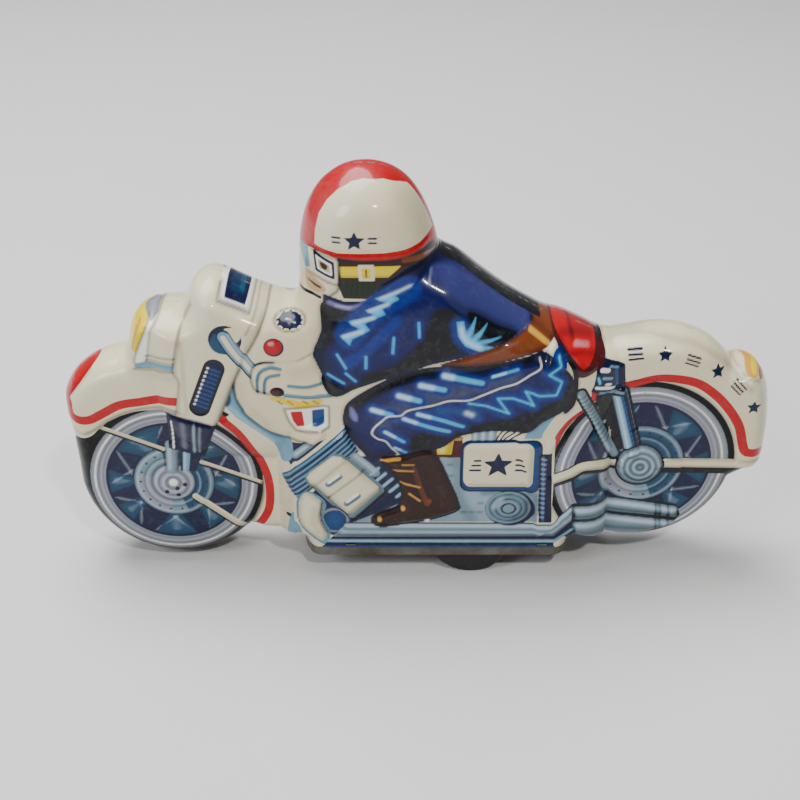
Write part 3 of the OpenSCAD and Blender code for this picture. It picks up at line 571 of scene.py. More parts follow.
def draw_engine(pr):
    # pale side wall behind everything, with the dark hollows of the engine
    pr.fill("cream", [(-37, 48.5), (-18, 50), (10, 52), (40, 50), (40.5, 20), (36, 11), (-30, 11),
                      (-37, 20)], curved=False)
    pr.fill("steel", [(-22, 20.5), (-22, 24), (-4, 29), (12, 28), (5, 44.6), (13, 44.6), (36, 44),
                      (36, 20.5)], curved=False)
    pr.spray([(10, 36), (20, 27), (34, 40)], 0.28, 9)
    pr.spray([(12, 42), (12.4, 30), (16, 22)], -0.3, 2)
    pr.spray([(20, 31), (34, 31), (35, 24)], -0.4, 1.2)
    pr.fill("navy", [(-41, 49), (-37.2, 46.9), (-31.6, 47.6), (-27, 49.5), (-35, 42.4),
                     (-37.4, 39.6), (-39.4, 43.6)], curved=False)
    pr.fill("navy", [(-32, 30), (-18, 44), (-12, 43.6), (-5, 40), (-4, 28), (-10, 24.6), (-20, 20),
                     (-29, 17)], curved=False)
    # cylinder fins
    a, b = np.array((-40.4, 35.2)), np.array((-21.1, 52.8))
    c, d = np.array((-35.7, 28.1)), np.array((-17.3, 45.6))
    pr.fill("blue", [a, b, d, c], curved=False, lift=0.9, edge=1.5, dark=0.4, band=2)
    for k in range(6):
        t = (k + 0.5) / 6
        pr.line("sky", [a + (c - a) * t, b + (d - b) * t], 0.6, lift=0.25)
        pr.spray([a + (c - a) * (t + 0.08), b + (d - b) * (t + 0.08)], -0.8, 0.4)
    pr.line("navy", [(-36.2, 42.6), (-27.6, 50.8)], 3.4)
    pr.line("steel", [(-36, 43), (-27.6, 51)], 2.2, lift=0.6)
    pr.spray([(-35.8, 43.6), (-27.8, 51.2)], 0.6, 0.4)
    # pipes and plug leads right of the cover
    pr.line("steel", [(-18.4, 43.8), (-12.4, 38)], 2.8, lift=0.5)
    pr.spray([(-18, 44.2), (-12.4, 38.8)], 0.5, 0.6)
    for k in range(5):
        p0 = np.array((-12.6 + 2.0 * k, 39.6 - 1.9 * k))
        pr.line("sky", [p0 + (-1.5, -2.6), p0 + (1.2, 0)], 0.9)
        pr.spray([p0 + (-1.5, -2.4), p0 + (1.2, 0.2)], 0.4, 0.4)
    # cylinder-head cover
    cover = [(-33.2, 36.6), (-31.8, 39.2), (-24.6, 45.2), (-22.2, 45.2), (-10.2, 33.4),
             (-9.8, 31.4), (-18.8, 22), (-21, 21.8), (-32.6, 34.6)]
    pr.fill("black", [(x + 0.4, z - 0.9) for x, z in cover], curved=False)
    pr.fill("steel", cover, curved=False, lift=1.0, edge=1.6, dark=0.35, band=1.2)
    pr.fill("cream", [(-32.6, 36.8), (-31.4, 38.8), (-24.6, 44.6), (-22.4, 44.4), (-11.4, 33.4),
                      (-11.4, 32.2), (-19.2, 24.4), (-20.8, 24.2), (-31.9, 35.4)], curved=False,
            dark=0.2, band=2.5)
    pr.spray([(-26.6, 29.6), (-15.4, 39.4)], -0.5, 0.4)
    pr.spray([(-31, 34.6), (-20.6, 23.8), (-11.4, 32.6)], -0.4, 0.7, False)
    pr.spray([(-30.6, 37.4), (-24.4, 43), (-22, 43)], 0.25, 0.8)
    for p0 in ((-24.6, 36.4), (-19.3, 29.6)):
        p0 = np.array(p0)
        pr.line("steel", [p0 + (-1.7, -1.9), p0 + (1.7, 0.9)], 1.9)
        pr.spray([p0 + (-1.6, -2.2), p0 + (1.8, 0.5)], -0.6, 0.5)
        pr.line("white", [p0 + (-1.5, -1.2), p0 + (1.5, 1.4)], 1, lift=0.3)
    # crankcase nose and the dark generator behind it
    pr.oval("navy", (-24.9, 21), 4.9, 5.4)
    pr.oval("blue", (-24.6, 21), 3, 3.6, dark=0.3)
    pr.halo((-24.8, 21), 4, 0.45)
    pr.fill("sky", [(-36.2, 22.9), (-35.6, 28.6), (-32.8, 31.4), (-27.4, 27.6), (-28, 21.4),
                    (-26.2, 16.7), (-27.6, 12.2), (-32, 14.8), (-35.2, 18.6)], dark=0.5, band=0.8)
    pr.fill("cream", [(-35.6, 23), (-35, 28.2), (-32.5, 30.6), (-28.3, 27), (-29, 21.4),
                      (-27.2, 17), (-28.4, 13.4), (-31.8, 15.6), (-34.8, 19)], lift=0.8, edge=1.6,
            dark=0.3, band=1.5)
    pr.spray([(-30.6, 25.6), (-31.2, 20.8), (-29.6, 16.8)], -0.2, 1)
    pr.spray([(-28.4, 27.4), (-28.9, 21.4), (-27, 16.6)], -0.7, 0.5)
    # long exhaust pipes, light above, dark below
    pipes = [(-21, 20.4), (40.6, 20.1), (46.2, 26.4), (47.2, 16.6), (41.6, 13), (41.6, 10),
             (-29.5, 10), (-27.4, 12.8)]
    pr.fill("navy", pipes, curved=False)
    pr.fill("steel", [(-21.2, 19.8), (40.8, 19.6), (46.4, 25.8), (46.4, 20.4), (41.4, 15.2),
                      (-25.6, 15)], curved=False, lift=0.8, edge=1.5)
    for *path, amount, reach in (
        ((-21.4, 19.2), (40.6, 19), (46, 24.6), 0.7, 0.5),
        ((-22.6, 17.4), (40.8, 17.2), (46.4, 22.2), 0.35, 0.7),
        ((-22, 18.3), (40.8, 18.1), (46.2, 23.4), -0.35, 0.4),
        ((-24, 15.9), (41, 15.7), (46.4, 20), -0.6, 0.6),
    ):
        pr.spray(path, amount, reach, False)
    pr.line("sky", [(-26.8, 13.3), (41.6, 13.2), (46.8, 17.4)], 0.9, curved=False, lift=0.4)
    pr.line("blue", [(-28.4, 11.2), (41.6, 11.2)], 0.9)
    pr.spray([(-26.6, 13.6), (41.4, 13.5)], 0.4, 0.4)


def draw_toolbox(pr):
    pr.fill("maroon", [(2, 51), (13, 51), (13, 43.8), (2, 43.8)], curved=False)
    pr.line("gold", [(3.4, 50.1), (12.4, 50.3)], 0.9)
    pr.fill("yellow", [(5.1, 49.8), (10.5, 49.8), (9.9, 44.8), (5.8, 44.8)], curved=False, lift=0.4)
    pr.oval("yellow", (7.9, 51.2), 1.5, 1.2)
    pr.spray([(9.6, 49), (9, 45.6)], -0.35, 0.8)
    pr.spray([(7, 48.6), (7.2, 46)], 0.35, 0.7)
    pr.fill("steel", [(15.4, 53.6), (22.9, 53.6), (22.8, 49.5), (15.6, 49.5)], curved=False)
    for x in (16.6, 18.9, 21.2):
        pr.spray([(x, 53.6), (x, 49.6)], 0.7, 0.6)
    for pts in ([(23.4, 50), (25, 52.6), (28, 54.4)], [(25.8, 50), (28.7, 52.2), (31.3, 55)]):
        pr.line("black", pts, 1.6)
        pr.line("white", pts, 0.6)
    pr.fill("navy", rounded_box(12.5, 31.4, 36.5, 50, 3), curved=False, lift=0.5, edge=1.2)
    pr.fill("blue", rounded_box(13.2, 32.1, 35.9, 49.4, 2.6), curved=False, lift=0.6, edge=1.8,
            dark=0.3, band=1.5)
    pr.fill("cream", rounded_box(13.5, 33.8, 33.9, 49.1, 2.4), curved=False)
    pr.spray([(15.4, 48.4), (31.6, 48.2)], 0.3, 0.6)
    pr.spray([(33.2, 47), (33.2, 36), (31.4, 34.4), (16, 34.4)], -0.3, 0.8)
    # a plain star between bars stands where a maker would print a name
    pr.fill("navy", star((23.6, 41.4), 4.8), curved=False)
    for s in (-1, 1):
        for k in range(3):
            z = 39.6 + 1.8 * k
            pr.line("navy", [(23.6 + s * 5.2, z), (23.6 + s * (8.2 - 0.6 * k), z)], 0.7)
    # ringed magneto cover
    c = (27.2, 25.6)
    pr.oval("navy", (27.8, 25.4), 7.5, 6.3)
    pr.oval("steel", c, 6.7, 5.7)
    for r, name in ((5.8, "teal"), (5.2, "steel"), (4.2, "teal"), (3.5, "steel"), (2.4, "navy"),
                    (1.7, "steel")):
        pr.oval(name, (c[0] + 0.1, c[1]), r, r * 0.85, lift=0.12, edge=1)
    pr.spray([(29, 21.4), (32.4, 23.4), (32.6, 27.6)], -0.5, 1)
    pr.spray([(25, 28.6), (23, 26)], 0.4, 0.9)
    for x, z in ((14, 24), (16.4, 24), (18.8, 24), (19, 27.2), (9.6, 41), (9.8, 37), (9.9, 44)):
        pr.spray([(x - 0.6, z), (x + 0.6, z)], -0.5, 0.4)
    pr.fill("navy", [(35.4, 45), (39.3, 45), (40.4, 20.8), (36.5, 20.8)], curved=False, dark=0.3)
    pr.line("blue", [(36.7, 44), (37.7, 21.4)], 1)
    for k in range(13):
        pr.spray([(36.2, 43.4 - 1.7 * k), (37.6, 43 - 1.7 * k)], 0.5, 0.4)


def draw_rear_wheel(pr):
    c = (66.8, 36.5)
    pr.oval("tyre", (66.9, 37.2), 31.5)
    printed_wheel(pr, c, 26.3, 21.3, 13, 6.6)
    guard = arc((66.8, 36.5, 28.2), -3, 216, 40) + [(36, 14), (28, 50), (40, 90), (110, 90),
                                                    (110, 33.6)]
    pr.fill("cream", guard, curved=False, lift=0.9, edge=1.5)
    # painted shadow along the guard's edge, where it stands over the wheel
    pr.spray(arc((66.8, 36.5, 28), -3, 216, 40), -0.8, 0.5, False)
    pr.fill("sky", [(30.8, 50), (33, 54.6), (36.6, 58), (41, 60), (38.6, 56.6), (36.2, 52), (35.2, 48)])
    pr.line("red", [(60.6, 63.4), (67.2, 65.6), (72.6, 66.1), (80, 64.9), (85.2, 61.8), (90.2, 56.9),
                    (94.5, 50.5), (96.6, 43.6), (97.6, 41.4), (99.6, 40.7), (107, 40.2)], 2.8)
    pr.line("red", [(39, 43), (39.4, 46), (41, 50.7), (43.8, 55), (47, 57.6)], 1.9)
    pr.fill("red", [(49.6, 65), (51.2, 64.2), (52.4, 60.4), (50.4, 61.2)])
    # crease of the mudguard and the marks printed along it
    pr.spray([(52.9, 75.6), (63.4, 77.2), (73, 77), (81, 75), (88, 70.4), (93, 65.6), (97, 62)],
             -0.3, 0.7)
    pr.spray([(100, 60), (101.6, 50), (102, 43)], -0.12, 1.5)
    for k in range(6):
        a = math.radians(97 - 13 * k)
        m = (66.9 + 37 * math.cos(a), 36.8 + 37 * math.sin(a))
        if k % 2:
            pr.fill("navy", star(m, 2.5), curved=False)
        else:
            u = (2 * math.sin(a), -2 * math.cos(a))
            for r in (-1.2, 0, 1.2):
                e = (m[0] + r * math.cos(a), m[1] + r * math.sin(a))
                pr.line("navy", [(e[0] - u[0], e[1] - u[1]), (e[0] + u[0], e[1] + u[1])], 0.6)
    # tail lamp
    pr.fill("cream", [(91.4, 70), (93.6, 66.8), (97, 64.6), (101.6, 63.6), (103, 70)], lift=0.8,
            dark=0.4, band=1.5)
    pr.oval("gold", (97.6, 67), 2.3, 1.6)
    pr.oval("yellow", (98.4, 66.8), 1.3, 1)
    pr.oval("red", (100.6, 65.2), 1.1, 1.5)
    # frame tubes, springs and hub
    pr.line("black", [(104, 35), (72, 35.8)], 4.8)
    pr.line("cream", [(104, 36.4), (72, 37)], 3.2, lift=0.9, curved=False)
    pr.spray([(102, 35.4), (72, 36.1)], -0.35, 0.6)
    pr.spray([(102, 37.8), (73, 38.3)], -0.4, 0.4)
    pr.line("black", [(60.6, 37), (50, 39.4), (45, 37.2), (39.6, 35)], 4.8)
    pr.line("cream", [(60.6, 37.2), (50, 39.8), (45, 37.6), (39.6, 35.4)], 3.1, lift=0.6)
    pr.spray([(60.6, 36.1), (50, 38.7), (45, 36.5), (39.6, 34.3)], -0.45, 0.7)
    pr.fill("black", [(51, 63), (57.4, 61), (64, 43), (58, 40.6), (55.6, 46)], curved=False)
    pr.line("black", [(46.6, 64.4), (58.8, 40.4)], 3.8)
    pr.line("steel", [(46.6, 64.4), (58.8, 40.4)], 2.3, lift=0.7)
    for k in range(13):
        m = np.array((47.2, 63.2)) + np.array((9.2, -18)) * k / 13
        pr.spray([m + (-1, -0.5), m + (1, 0.5)], -0.6, 0.38)
    pr.spray([(46, 63.8), (57, 42.4)], 0.5, 0.45)
    pr.line("black", [(59, 61), (64.4, 41.4)], 5.8, curved=False)
    pr.line("sky", [(58.8, 61), (64.2, 41.4)], 4.4, lift=0.9, curved=False)
    pr.line("navy", [(60.2, 61), (65.7, 41.4)], 1.3, curved=False)
    pr.line("blue", [(59.2, 61), (64.7, 41.4)], 0.8, curved=False)
    pr.spray([(57.6, 61), (62.9, 41.4)], 0.8, 0.6)
    pr.fill("navy", [(51, 72.4), (53.4, 73.2), (59.4, 71), (60.6, 60), (56, 60.6), (52.4, 62.6),
                     (49.6, 64.6), (50.4, 66.6)], curved=False, lift=0.6, dark=0.4, band=1.5)
    for p0, p1, w, name in (
        ((52.4, 70.8), (54.4, 70.2), 1.2, "white"), ((53, 68.2), (55.6, 67.4), 0.9, "sky"),
        ((51, 65.6), (56.6, 64), 0.9, "white"), ((56.8, 70), (57.6, 64), 0.9, "blue"),
        ((52.4, 63.4), (59.6, 61.4), 1, "steel"), ((54, 66), (55.4, 65.6), 0.7, "white"),
        ((51.4, 68.6), (52, 66.8), 0.7, "cyan"), ((55, 71.2), (57.4, 70.4), 0.6, "sky"),
    ):
        pr.line(name, [p0, p1], w)
    hub = (66.6, 36.4)
    pr.oval("black", hub, 7.4)
    pr.oval("steel", hub, 6.7, lift=0.8, edge=1.6, dark=0.5, band=1)
    for r, amount in ((5.6, 0.6), (4.7, -0.6), (3.9, 0.5), (2.9, -0.7), (2, 0.5), (1, -0.7)):
        pr.halo(hub, r, amount, 0.45)
    pr.spray([(62.4, 33.4), (66, 31.6), (70, 33)], -0.4, 1)
    # silencer: two tubes side by side, banded near the end
    body = [(46, 26.6), (47.2, 27), (62, 24.7), (79.4, 21.9), (80.8, 18), (79, 14.6),
            (74.6, 11.4), (64, 7.4), (58, 7.6), (52.6, 11), (46.8, 15)]
    pr.fill("black", body, curved=False)
    pr.fill("steel", [(46.8, 25.8), (62, 23.9), (79.2, 21), (80, 17), (62, 19), (47, 21.2)],
            curved=False, lift=0.9, edge=1.6, dark=0.35, band=0.8)
    pr.fill("steel", [(47, 20.2), (62, 17.8), (79.8, 15.6), (77, 13.2), (64, 9.4), (53.4, 11.8),
                      (47.2, 15.4)], curved=False, lift=0.9, edge=1.6, dark=0.35, band=0.8)
    for *path, amount, reach in (
        ((47.2, 24.6), (62, 22.7), (79, 19.8), 0.75, 0.7),
        ((47.2, 22.4), (62, 20.4), (79.6, 17.8), -0.6, 0.7),
        ((47.4, 19.2), (62, 16.8), (78.6, 14.8), 0.7, 0.7),
        ((47.6, 16.8), (60, 14), (76, 13), -0.5, 0.9),
        ((53, 12.8), (62, 11), (72, 11.8), 0.3, 0.9),
    ):
        pr.spray(path, amount, reach)
    for x in (73, 74.2, 76.8):
        pr.spray([(x, 21.9), (x + 0.7, 12.6)], -0.8, 0.4)
    pr.spray([(46.8, 26), (47.4, 16)], -0.8, 0.5)


def draw_rider(pr):
    # body, with the dark far side of the back and a paler panel below it
    pr.fill("jacket", [(-26.2, 95), (-27, 83.6), (-29.8, 75.8), (-27.5, 70), (-23.8, 63.6),
                       (-15, 67.6), (-7.4, 71.2), (4.4, 75.1), (12.4, 77), (20.3, 80),
                       (26.7, 82.4), (32.3, 84), (36, 88), (20, 102), (9, 112), (5.4, 105.2),
                       (-3.6, 102.6), (-10.6, 98.4), (-12.6, 93.4), (-20.5, 93)], curved=False,
            lift=0.3, dark=0.8, band=6)
    pr.fill("violet", [(3.6, 102), (10.6, 100.2), (20.4, 93), (32, 85), (26, 82.6), (17.6, 88),
                       (10.4, 91.6), (4.4, 98)])
    pr.spray([(5, 98), (10.6, 92.6), (18, 88.4), (26, 83.6)], -0.5, 1.2)
    pr.fill("shade", [(-27, 91.6), (-22, 91), (-15, 90), (-19.6, 85.4), (-24, 79.6), (-29.4, 77),
                      (-27.2, 83)])
    pr.fill("shade", [(3.4, 89.6), (6.4, 92), (10.6, 91), (12.8, 86), (12.4, 80.6), (8, 76.8),
                      (0, 73.8), (-9, 70), (-4, 77), (1, 83)])
    pr.fill("shade", [(-24.4, 63), (-17, 66.6), (-7.4, 70.8), (2, 74.4), (-4, 75.4), (-11, 73),
                      (-19, 69.6), (-27.4, 69.4)])
    pr.fill("shade", [(14, 91), (22, 86.4), (28, 83), (22, 80.6), (15, 80), (13.4, 86)])
    pr.line("lilac", [(-24.6, 92.4), (-20.4, 91.2), (-16.8, 91.6), (-12.8, 93.6)], 1.7)
    pr.spray([(-22.6, 91.6), (-19, 91.2)], 0.4, 0.5)
    pr.spray([(3, 103), (3, 98.2)], 0.35, 0.5)
    # light struck on the sleeve: a broken zigzag and short strokes
    pr.line("glow", [(-3, 97.2), (-9.4, 93), (-14.4, 88.6), (-19.6, 82.4)], 7.5)
    pr.line("glow", [(-6, 88), (-14, 79), (-20, 74)], 3)
    pr.fill("cyan", [(-1.4, 98.4), (-6, 96.2), (-11.8, 94.2), (-8.6, 92.8), (-14.6, 90.4),
                     (-12, 88.9), (-19.4, 86.4), (-16, 84.6), (-21.8, 82), (-19.2, 79.8),
                     (-18.6, 81.6), (-13.6, 84.8), (-15.2, 86.6), (-9.2, 89.6), (-10.2, 91.2),
                     (-5.4, 94), (-6.8, 95)], curved=False)
    for p0, p1 in (((-2.4, 97.8), (-10.4, 94.2)), ((-8.4, 92.4), (-13.6, 90.2)),
                   ((-12.4, 88.4), (-18.2, 86.2)), ((-15.6, 84.2), (-20.8, 82))):
        pr.spray([p0, p1], 0.7, 0.55)
    for p0, p1 in (((0.1, 87.6), (0.3, 83.4)), ((-6.8, 83), (-7.1, 78.4)),
                   ((-14.6, 76.8), (-14.7, 73.3)), ((-22.8, 76.4), (-20.4, 72.6)),
                   ((-25.6, 69.9), (-21, 67.8)), ((-20.4, 71), (-17.7, 68.9))):
        pr.line("glow", [p0, p1], 1.8)
        pr.line("cyan", [p0, p1], 0.6)
    # burst of light under the arm
    pr.line("glow", [(11.4, 87), (12.4, 83), (16.4, 80)], 5)
    pr.fill("cyan", [(10.6, 88), (11.2, 83.8), (13.2, 80.8), (17.4, 79), (22, 80), (17.6, 81.2),
                     (23, 83.2), (16.4, 82.4), (19, 87), (14.8, 83.4), (15.8, 89), (13, 84.6),
                     (12.4, 88.2)], curved=False)
    pr.spray([(11.8, 86), (13, 82.6), (17, 80.2)], 0.7, 0.7)
    # thigh and shin
    pr.fill("jacket", [(-21.2, 58), (-18.6, 62.4), (-15.6, 65.4), (-7.4, 70.4), (4.4, 73.8),
                       (15.1, 73.6), (30, 77), (36.1, 77.4), (42.3, 71), (44.6, 64.7), (42.6, 60.2),
                       (36, 56.6), (31.5, 53), (22, 53.4), (14, 52.4), (6, 47), (-1, 45.6),
                       (-11, 43.2), (-13.2, 42), (-16.1, 45.4), (-20, 50.4), (-21.6, 54.6)],
            lift=0.8, edge=4, dark=0.85, band=4.5)
    pr.fill("shade", [(-21.4, 55), (-20.6, 60.6), (-15.4, 65.6), (-7.4, 70.6), (3, 74), (12, 73.8),
                      (4, 72), (-6, 68), (-14, 63), (-18.8, 57.4), (-20.2, 52.6)])
    pr.fill("shade", [(36.4, 77.6), (43, 71.4), (45, 64.6), (42.8, 60), (36, 56), (31.5, 52.6),
                      (22, 53), (13, 51.6), (8, 49), (12, 53.6), (18, 56), (25, 57.6), (33, 60.4),
                      (38, 63.6), (41.4, 68.6), (39.4, 73.6)])
    pr.fill("shade", [(-3.4, 45.4), (3, 47), (9, 51.4), (15, 55.6), (8, 55.6), (0, 52.6), (-5, 49)])
    pr.fill("shade", [(8, 75.2), (22, 75.4), (33, 77.2), (31, 75), (20, 73), (8, 73.8)])
    pr.fill("lilac", [(-19.4, 60), (-17.6, 58.6), (-17.4, 55.8), (-19.2, 56.4)])
    pr.spray([(-10, 56), (-2, 63), (12, 66.6), (26, 71)], 0.06, 3)
    zig = [(39.6, 76.4), (40.2, 73.8), (36.8, 72), (40.6, 69.4), (39.2, 65.4), (34.4, 65.2),
           (30.4, 66.6), (33, 62), (27, 64.4), (22.6, 64.4), (26, 59.4), (19.4, 62), (14.4, 62.8),
           (17.2, 58), (10.6, 60.4), (6, 60.6), (9, 57)]
    pr.line("glow", zig, 3.4, curved=False)
    pr.line("blue", zig, 1.6, curved=False)
    pr.line("cyan", zig[:13], 0.6, curved=False)
    for pts, w in (([(7.4, 71.6), (12, 70.6), (18, 69.4)], 1.9), ([(0.8, 68.6), (7.4, 67.2)], 1.9),
                   ([(-5.4, 65.2), (0.4, 63.6)], 2), ([(-13, 60.2), (-7.6, 58.8)], 1.8),
                   ([(-4, 57.6), (3, 55), (9, 53.4)], 1.3), ([(0, 59.2), (7, 57.2), (13, 55)], 1.3),
                   ([(-9.4, 52.8), (-4, 49.6)], 1.1), ([(-6.6, 47.2), (-3.4, 45.2)], 0.9),
                   ([(21, 71.4), (28, 73.6)], 0.8)):
        pr.line("glow", pts, w + 2.2)
        pr.line("cyan", pts, w * 0.75)
        halfway = ((pts[0][0] + pts[1][0]) / 2, (pts[0][1] + pts[1][1]) / 2)
        pr.spray([pts[0], halfway], 0.9, w * 0.4)
    pr.spray([(14, 59.6), (15.4, 59)], 0.9, 0.8)
    pr.line("white", [(34, 76.6), (34.4, 73.8), (31.4, 71.7), (27.7, 69.2), (23.4, 67.8),
                      (18.6, 65.6), (14.3, 63.8), (8.9, 63.6), (4.6, 62.2), (0.2, 61.2), (-3.1, 60.2),
                      (-5, 58.6), (-8.4, 58.2), (-10.4, 56.4), (-12.5, 54), (-13.2, 51.8),
                      (-11.6, 50.2), (-9.2, 49.4), (-7.5, 47), (-5.6, 44.6)], 0.5)
    # belt, saddle bag and the dark edge of the hip
    pr.fill("belt", [(36, 87.5), (33.6, 86.4), (31.8, 83.8), (26.7, 82.3), (20.3, 79.9),
                     (12.4, 76.9), (6, 74.9), (15.1, 74.4), (23.1, 75.5), (30, 77.4), (36.2, 78.4),
                     (39, 80.4), (40, 84.5)], lift=0.5, curved=False, dark=0.5, band=1.5)
    pr.spray([(32, 83.6), (26.7, 81.6), (20.3, 79.2), (12.4, 76.4)], 0.2, 0.6)
    pr.line("gold", [(31.4, 83), (36.6, 79.2)], 1.1)
    pr.spray([(31.6, 84.6), (38, 80)], -0.4, 0.5)
    pr.fill("maroon", [(38.6, 85), (44, 83), (50.5, 79.5), (53.5, 75.5), (53, 72.5), (47.6, 69.6),
                       (44.8, 70.8), (43.6, 74.6), (38.6, 79.8)], lift=0.8, edge=1.4)
    pr.fill("red", [(38.8, 84.8), (44.4, 83.2), (49.4, 80.8), (51.2, 77.6), (50, 74.6),
                    (47, 72.4), (45, 74), (41, 78.6), (38.4, 82.2)])
    for pts in ([(40.4, 80.2), (44.6, 79.4), (49.8, 77.6)], [(43.4, 76.6), (47, 76), (50, 75)],
                [(43, 82.4), (44, 79)]):
        pr.spray(pts, -0.45, 0.6)
    pr.spray([(44.6, 78), (48.4, 76.6)], 0.3, 0.7)
    pr.fill("shade", [(49.8, 81), (52.6, 78.6), (53.4, 76), (51.6, 76.8)])
    pr.line("shade", [(40, 78.6), (44.4, 71.8), (44.6, 62.4), (42.4, 59)], 1.4)


def draw_boot(pr):
    pr.fill("brown", [(-11.4, 43.6), (-5.4, 44.2), (2.4, 47), (5.6, 44.8), (9.4, 36), (12.4, 28),
                      (12.2, 24.4), (4, 21.2), (-2, 20), (-10.2, 18.9), (-13.4, 20), (-13.5, 22.6),
                      (-10.6, 24.5), (-5.8, 26.7), (-4.9, 31.2), (-6.6, 37)],
            lift=1.1, edge=2, dark=0.7, band=2)
    pr.line("belt", [(-1, 40), (1, 33), (3, 27.6)], 1.6)
    pr.spray([(-1, 40), (1, 33), (3, 27.6)], -0.35, 2.2)
    pr.spray([(-1.4, 40), (0, 31)], -0.3, 1.4)
    for p0, p1, w in (((-10.6, 42.6), (-5.2, 43.2), 0.9), ((-7, 39.5), (-1.2, 39.3), 0.6),
                      ((-4.9, 35.2), (0.7, 33.6), 0.7), ((-2.4, 31.4), (0.8, 28.8), 0.7),
                      ((-4.4, 41.4), (-1, 41.4), 0.5)):
        pr.line("gold", [p0, p1], w)
    for x, z, name in ((-11.2, 22, "gold"), (-4.2, 26, "gold"), (3.6, 28.6, "belt"),
                       (7.6, 27, "maroon")):
        pr.oval(name, (x, z), 0.7, 0.9)
    pr.oval("white", (3, 21.2), 0.9, 0.6)


def draw_head(pr):
    # neck shade, chin strap with its buckle, hair
    pr.fill("brown", [(-22, 107.4), (-10, 106.6), (1, 108.4), (6.4, 106.6), (9, 103), (2, 103),
                      (-5, 100.6), (-11.6, 97.4), (-13, 94), (-20.6, 94), (-22, 98)],
            curved=False, dark=0.4, band=1.5)
    pr.line("belt", [(-4, 105.4), (3.4, 104.9), (8.6, 103.6)], 1.6)
    pr.spray([(2, 105.6), (7, 104.6)], 0.3, 0.5)
    pr.fill("yellow", [(-21.6, 103.7), (-4.6, 103.9), (-8.3, 100.5), (-21.4, 100.4)], curved=False,
            lift=0.25)
    pr.spray([(-21.4, 100.7), (-8.6, 100.7)], -0.3, 0.5)
    pr.fill("cream", [(-16.6, 104.3), (-12.1, 104.3), (-11.9, 99.4), (-16.3, 99.4)], curved=False,
            lift=0.3)
    pr.fill("yellow", [(-15.6, 103.3), (-13.1, 103.3), (-13, 100.4), (-15.4, 100.4)], curved=False)
    pr.line("brown", [(-14.3, 102.9), (-14.2, 100.8)], 0.5)
    pr.fill("green", [(-21.4, 99.8), (-11, 98.8), (-10.6, 97.6), (-13, 94.2), (-20.6, 94.2)],
            curved=False)
    for k in range(6):
        pr.spray([(-19.6 + 1.5 * k, 98.8), (-20 + 1.5 * k, 95.2)], -0.6, 0.4)
    # visor side and cheek guard
    pr.fill("cream", [(-33.8, 107), (-31, 96.4), (-33.6, 93.4), (-30, 93.8), (-27.1, 93.5),
                      (-24, 94.8), (-21.9, 97.7), (-21.6, 107.4)], curved=False, lift=0.5)
    pr.fill("sky", [(-33.6, 107), (-30.4, 107.4), (-29.8, 101.8), (-31.4, 100.6)], curved=False)
    pr.fill("flesh", [(-31, 99.8), (-27.6, 98.8), (-25.4, 96.4), (-28, 95), (-31, 95.4)])
    pr.line("brown", [(-30.4, 97.6), (-27, 96.8)], 0.8)
    pr.spray([(-31, 100.2), (-27.8, 99.9), (-22.4, 98.2)], -0.7, 0.4)
    pr.spray([(-21.8, 107), (-21.8, 97.6), (-24, 94.7)], -0.8, 0.45)
    pr.fill("navy", [(-28.9, 107.3), (-23, 105), (-22.8, 99.9), (-28.2, 101.6)], curved=False)
    pr.fill("white", [(-28.1, 106.1), (-23.7, 104.3), (-23.5, 100.9), (-27.6, 102.3)], curved=False)
    pr.fill("flesh", [(-27.6, 105.4), (-24.2, 104), (-24, 101.5), (-27.2, 102.7)], curved=False)
    pr.fill("brown", [(-26.9, 104.6), (-24.9, 103.8), (-25.2, 102.5), (-26.5, 103)])
    pr.line("black", [(-34.4, 93.2), (-31, 93.8), (-27.2, 93.4)], 0.9)
    # helmet: red crest band over the middle, red rim, and a small plain star
    pr.fill("cream", [(-30, 108.6), (-29, 114), (-27, 119), (-22, 124), (-14, 127), (-6, 126),
                      (0, 121), (4, 113), (4.6, 109.8), (0.3, 109.3), (-9.6, 107.9), (-22, 107.8)],
            lift=0.5, edge=1.2)
    pr.fill("red", [(-36, 107.2), (-29, 107.6), (-28.3, 109.4), (-28.1, 112.7), (-27, 117),
                    (-24.7, 120.6), (-21.9, 123.2), (-18.2, 125.2), (-15.1, 125.9), (-9.6, 125.5),
                    (-5, 124), (-2.2, 122.6), (-2, 130), (-36, 130)], curved=False, lift=0.35)
    pr.fill("red", [(-28.6, 109), (-25.7, 108.3), (-22, 107.6), (-15.8, 107.5), (-9.6, 107.7),
                    (-3.4, 108.3), (0.3, 109.1), (2.4, 110.1), (7, 111.6), (7, 105.4), (2.9, 107.8),
                    (1.3, 107.2), (-4, 106), (-9.6, 105.5), (-15.8, 105.4), (-20.8, 105.9),
                    (-24.5, 106.8), (-29, 107.4), (-34, 106.4), (-34, 108.4)], lift=0.5, edge=0.8,
            curved=False)
    pr.spray([(-29, 107.2), (-24, 106.4), (-16, 105.2), (-8, 105.4), (1, 107), (5, 106)], -0.6, 0.6)
    pr.fill("navy", star((-17.4, 111.2), 3.1), curved=False)
    for s in (-1, 1):
        for z in (110.8, 110.8 + 1.3):
            pr.line("navy", [(-17.4 + s * 3.8, z), (-17.4 + s * 6, z)], 0.6)
    pr.spray([(-26.6, 112), (-22, 119), (-14, 122)], 0.1, 4)
    pr.spray([(2.2, 111), (-1, 118), (-6, 123)], -0.14, 2.4)


def pressed(p, lift):
    """Distance out from the seam plane of each point of the outside face."""
    d = to_line(p, seam)[0]
    k = np.clip(d / rounding(p), 0, 1)
    fall = ramp(d / 2.4)
    return np.minimum(half_width(p) + lift * fall, DEEPEST) * np.sqrt(1 - (1 - k) ** 2)


outside = flat_sheet(CELL, 1.2, 12, 0)
points = np.array([v.co[:2] for v in outside.verts])
flat_y = pressed(points, 0 * points[:, 0])
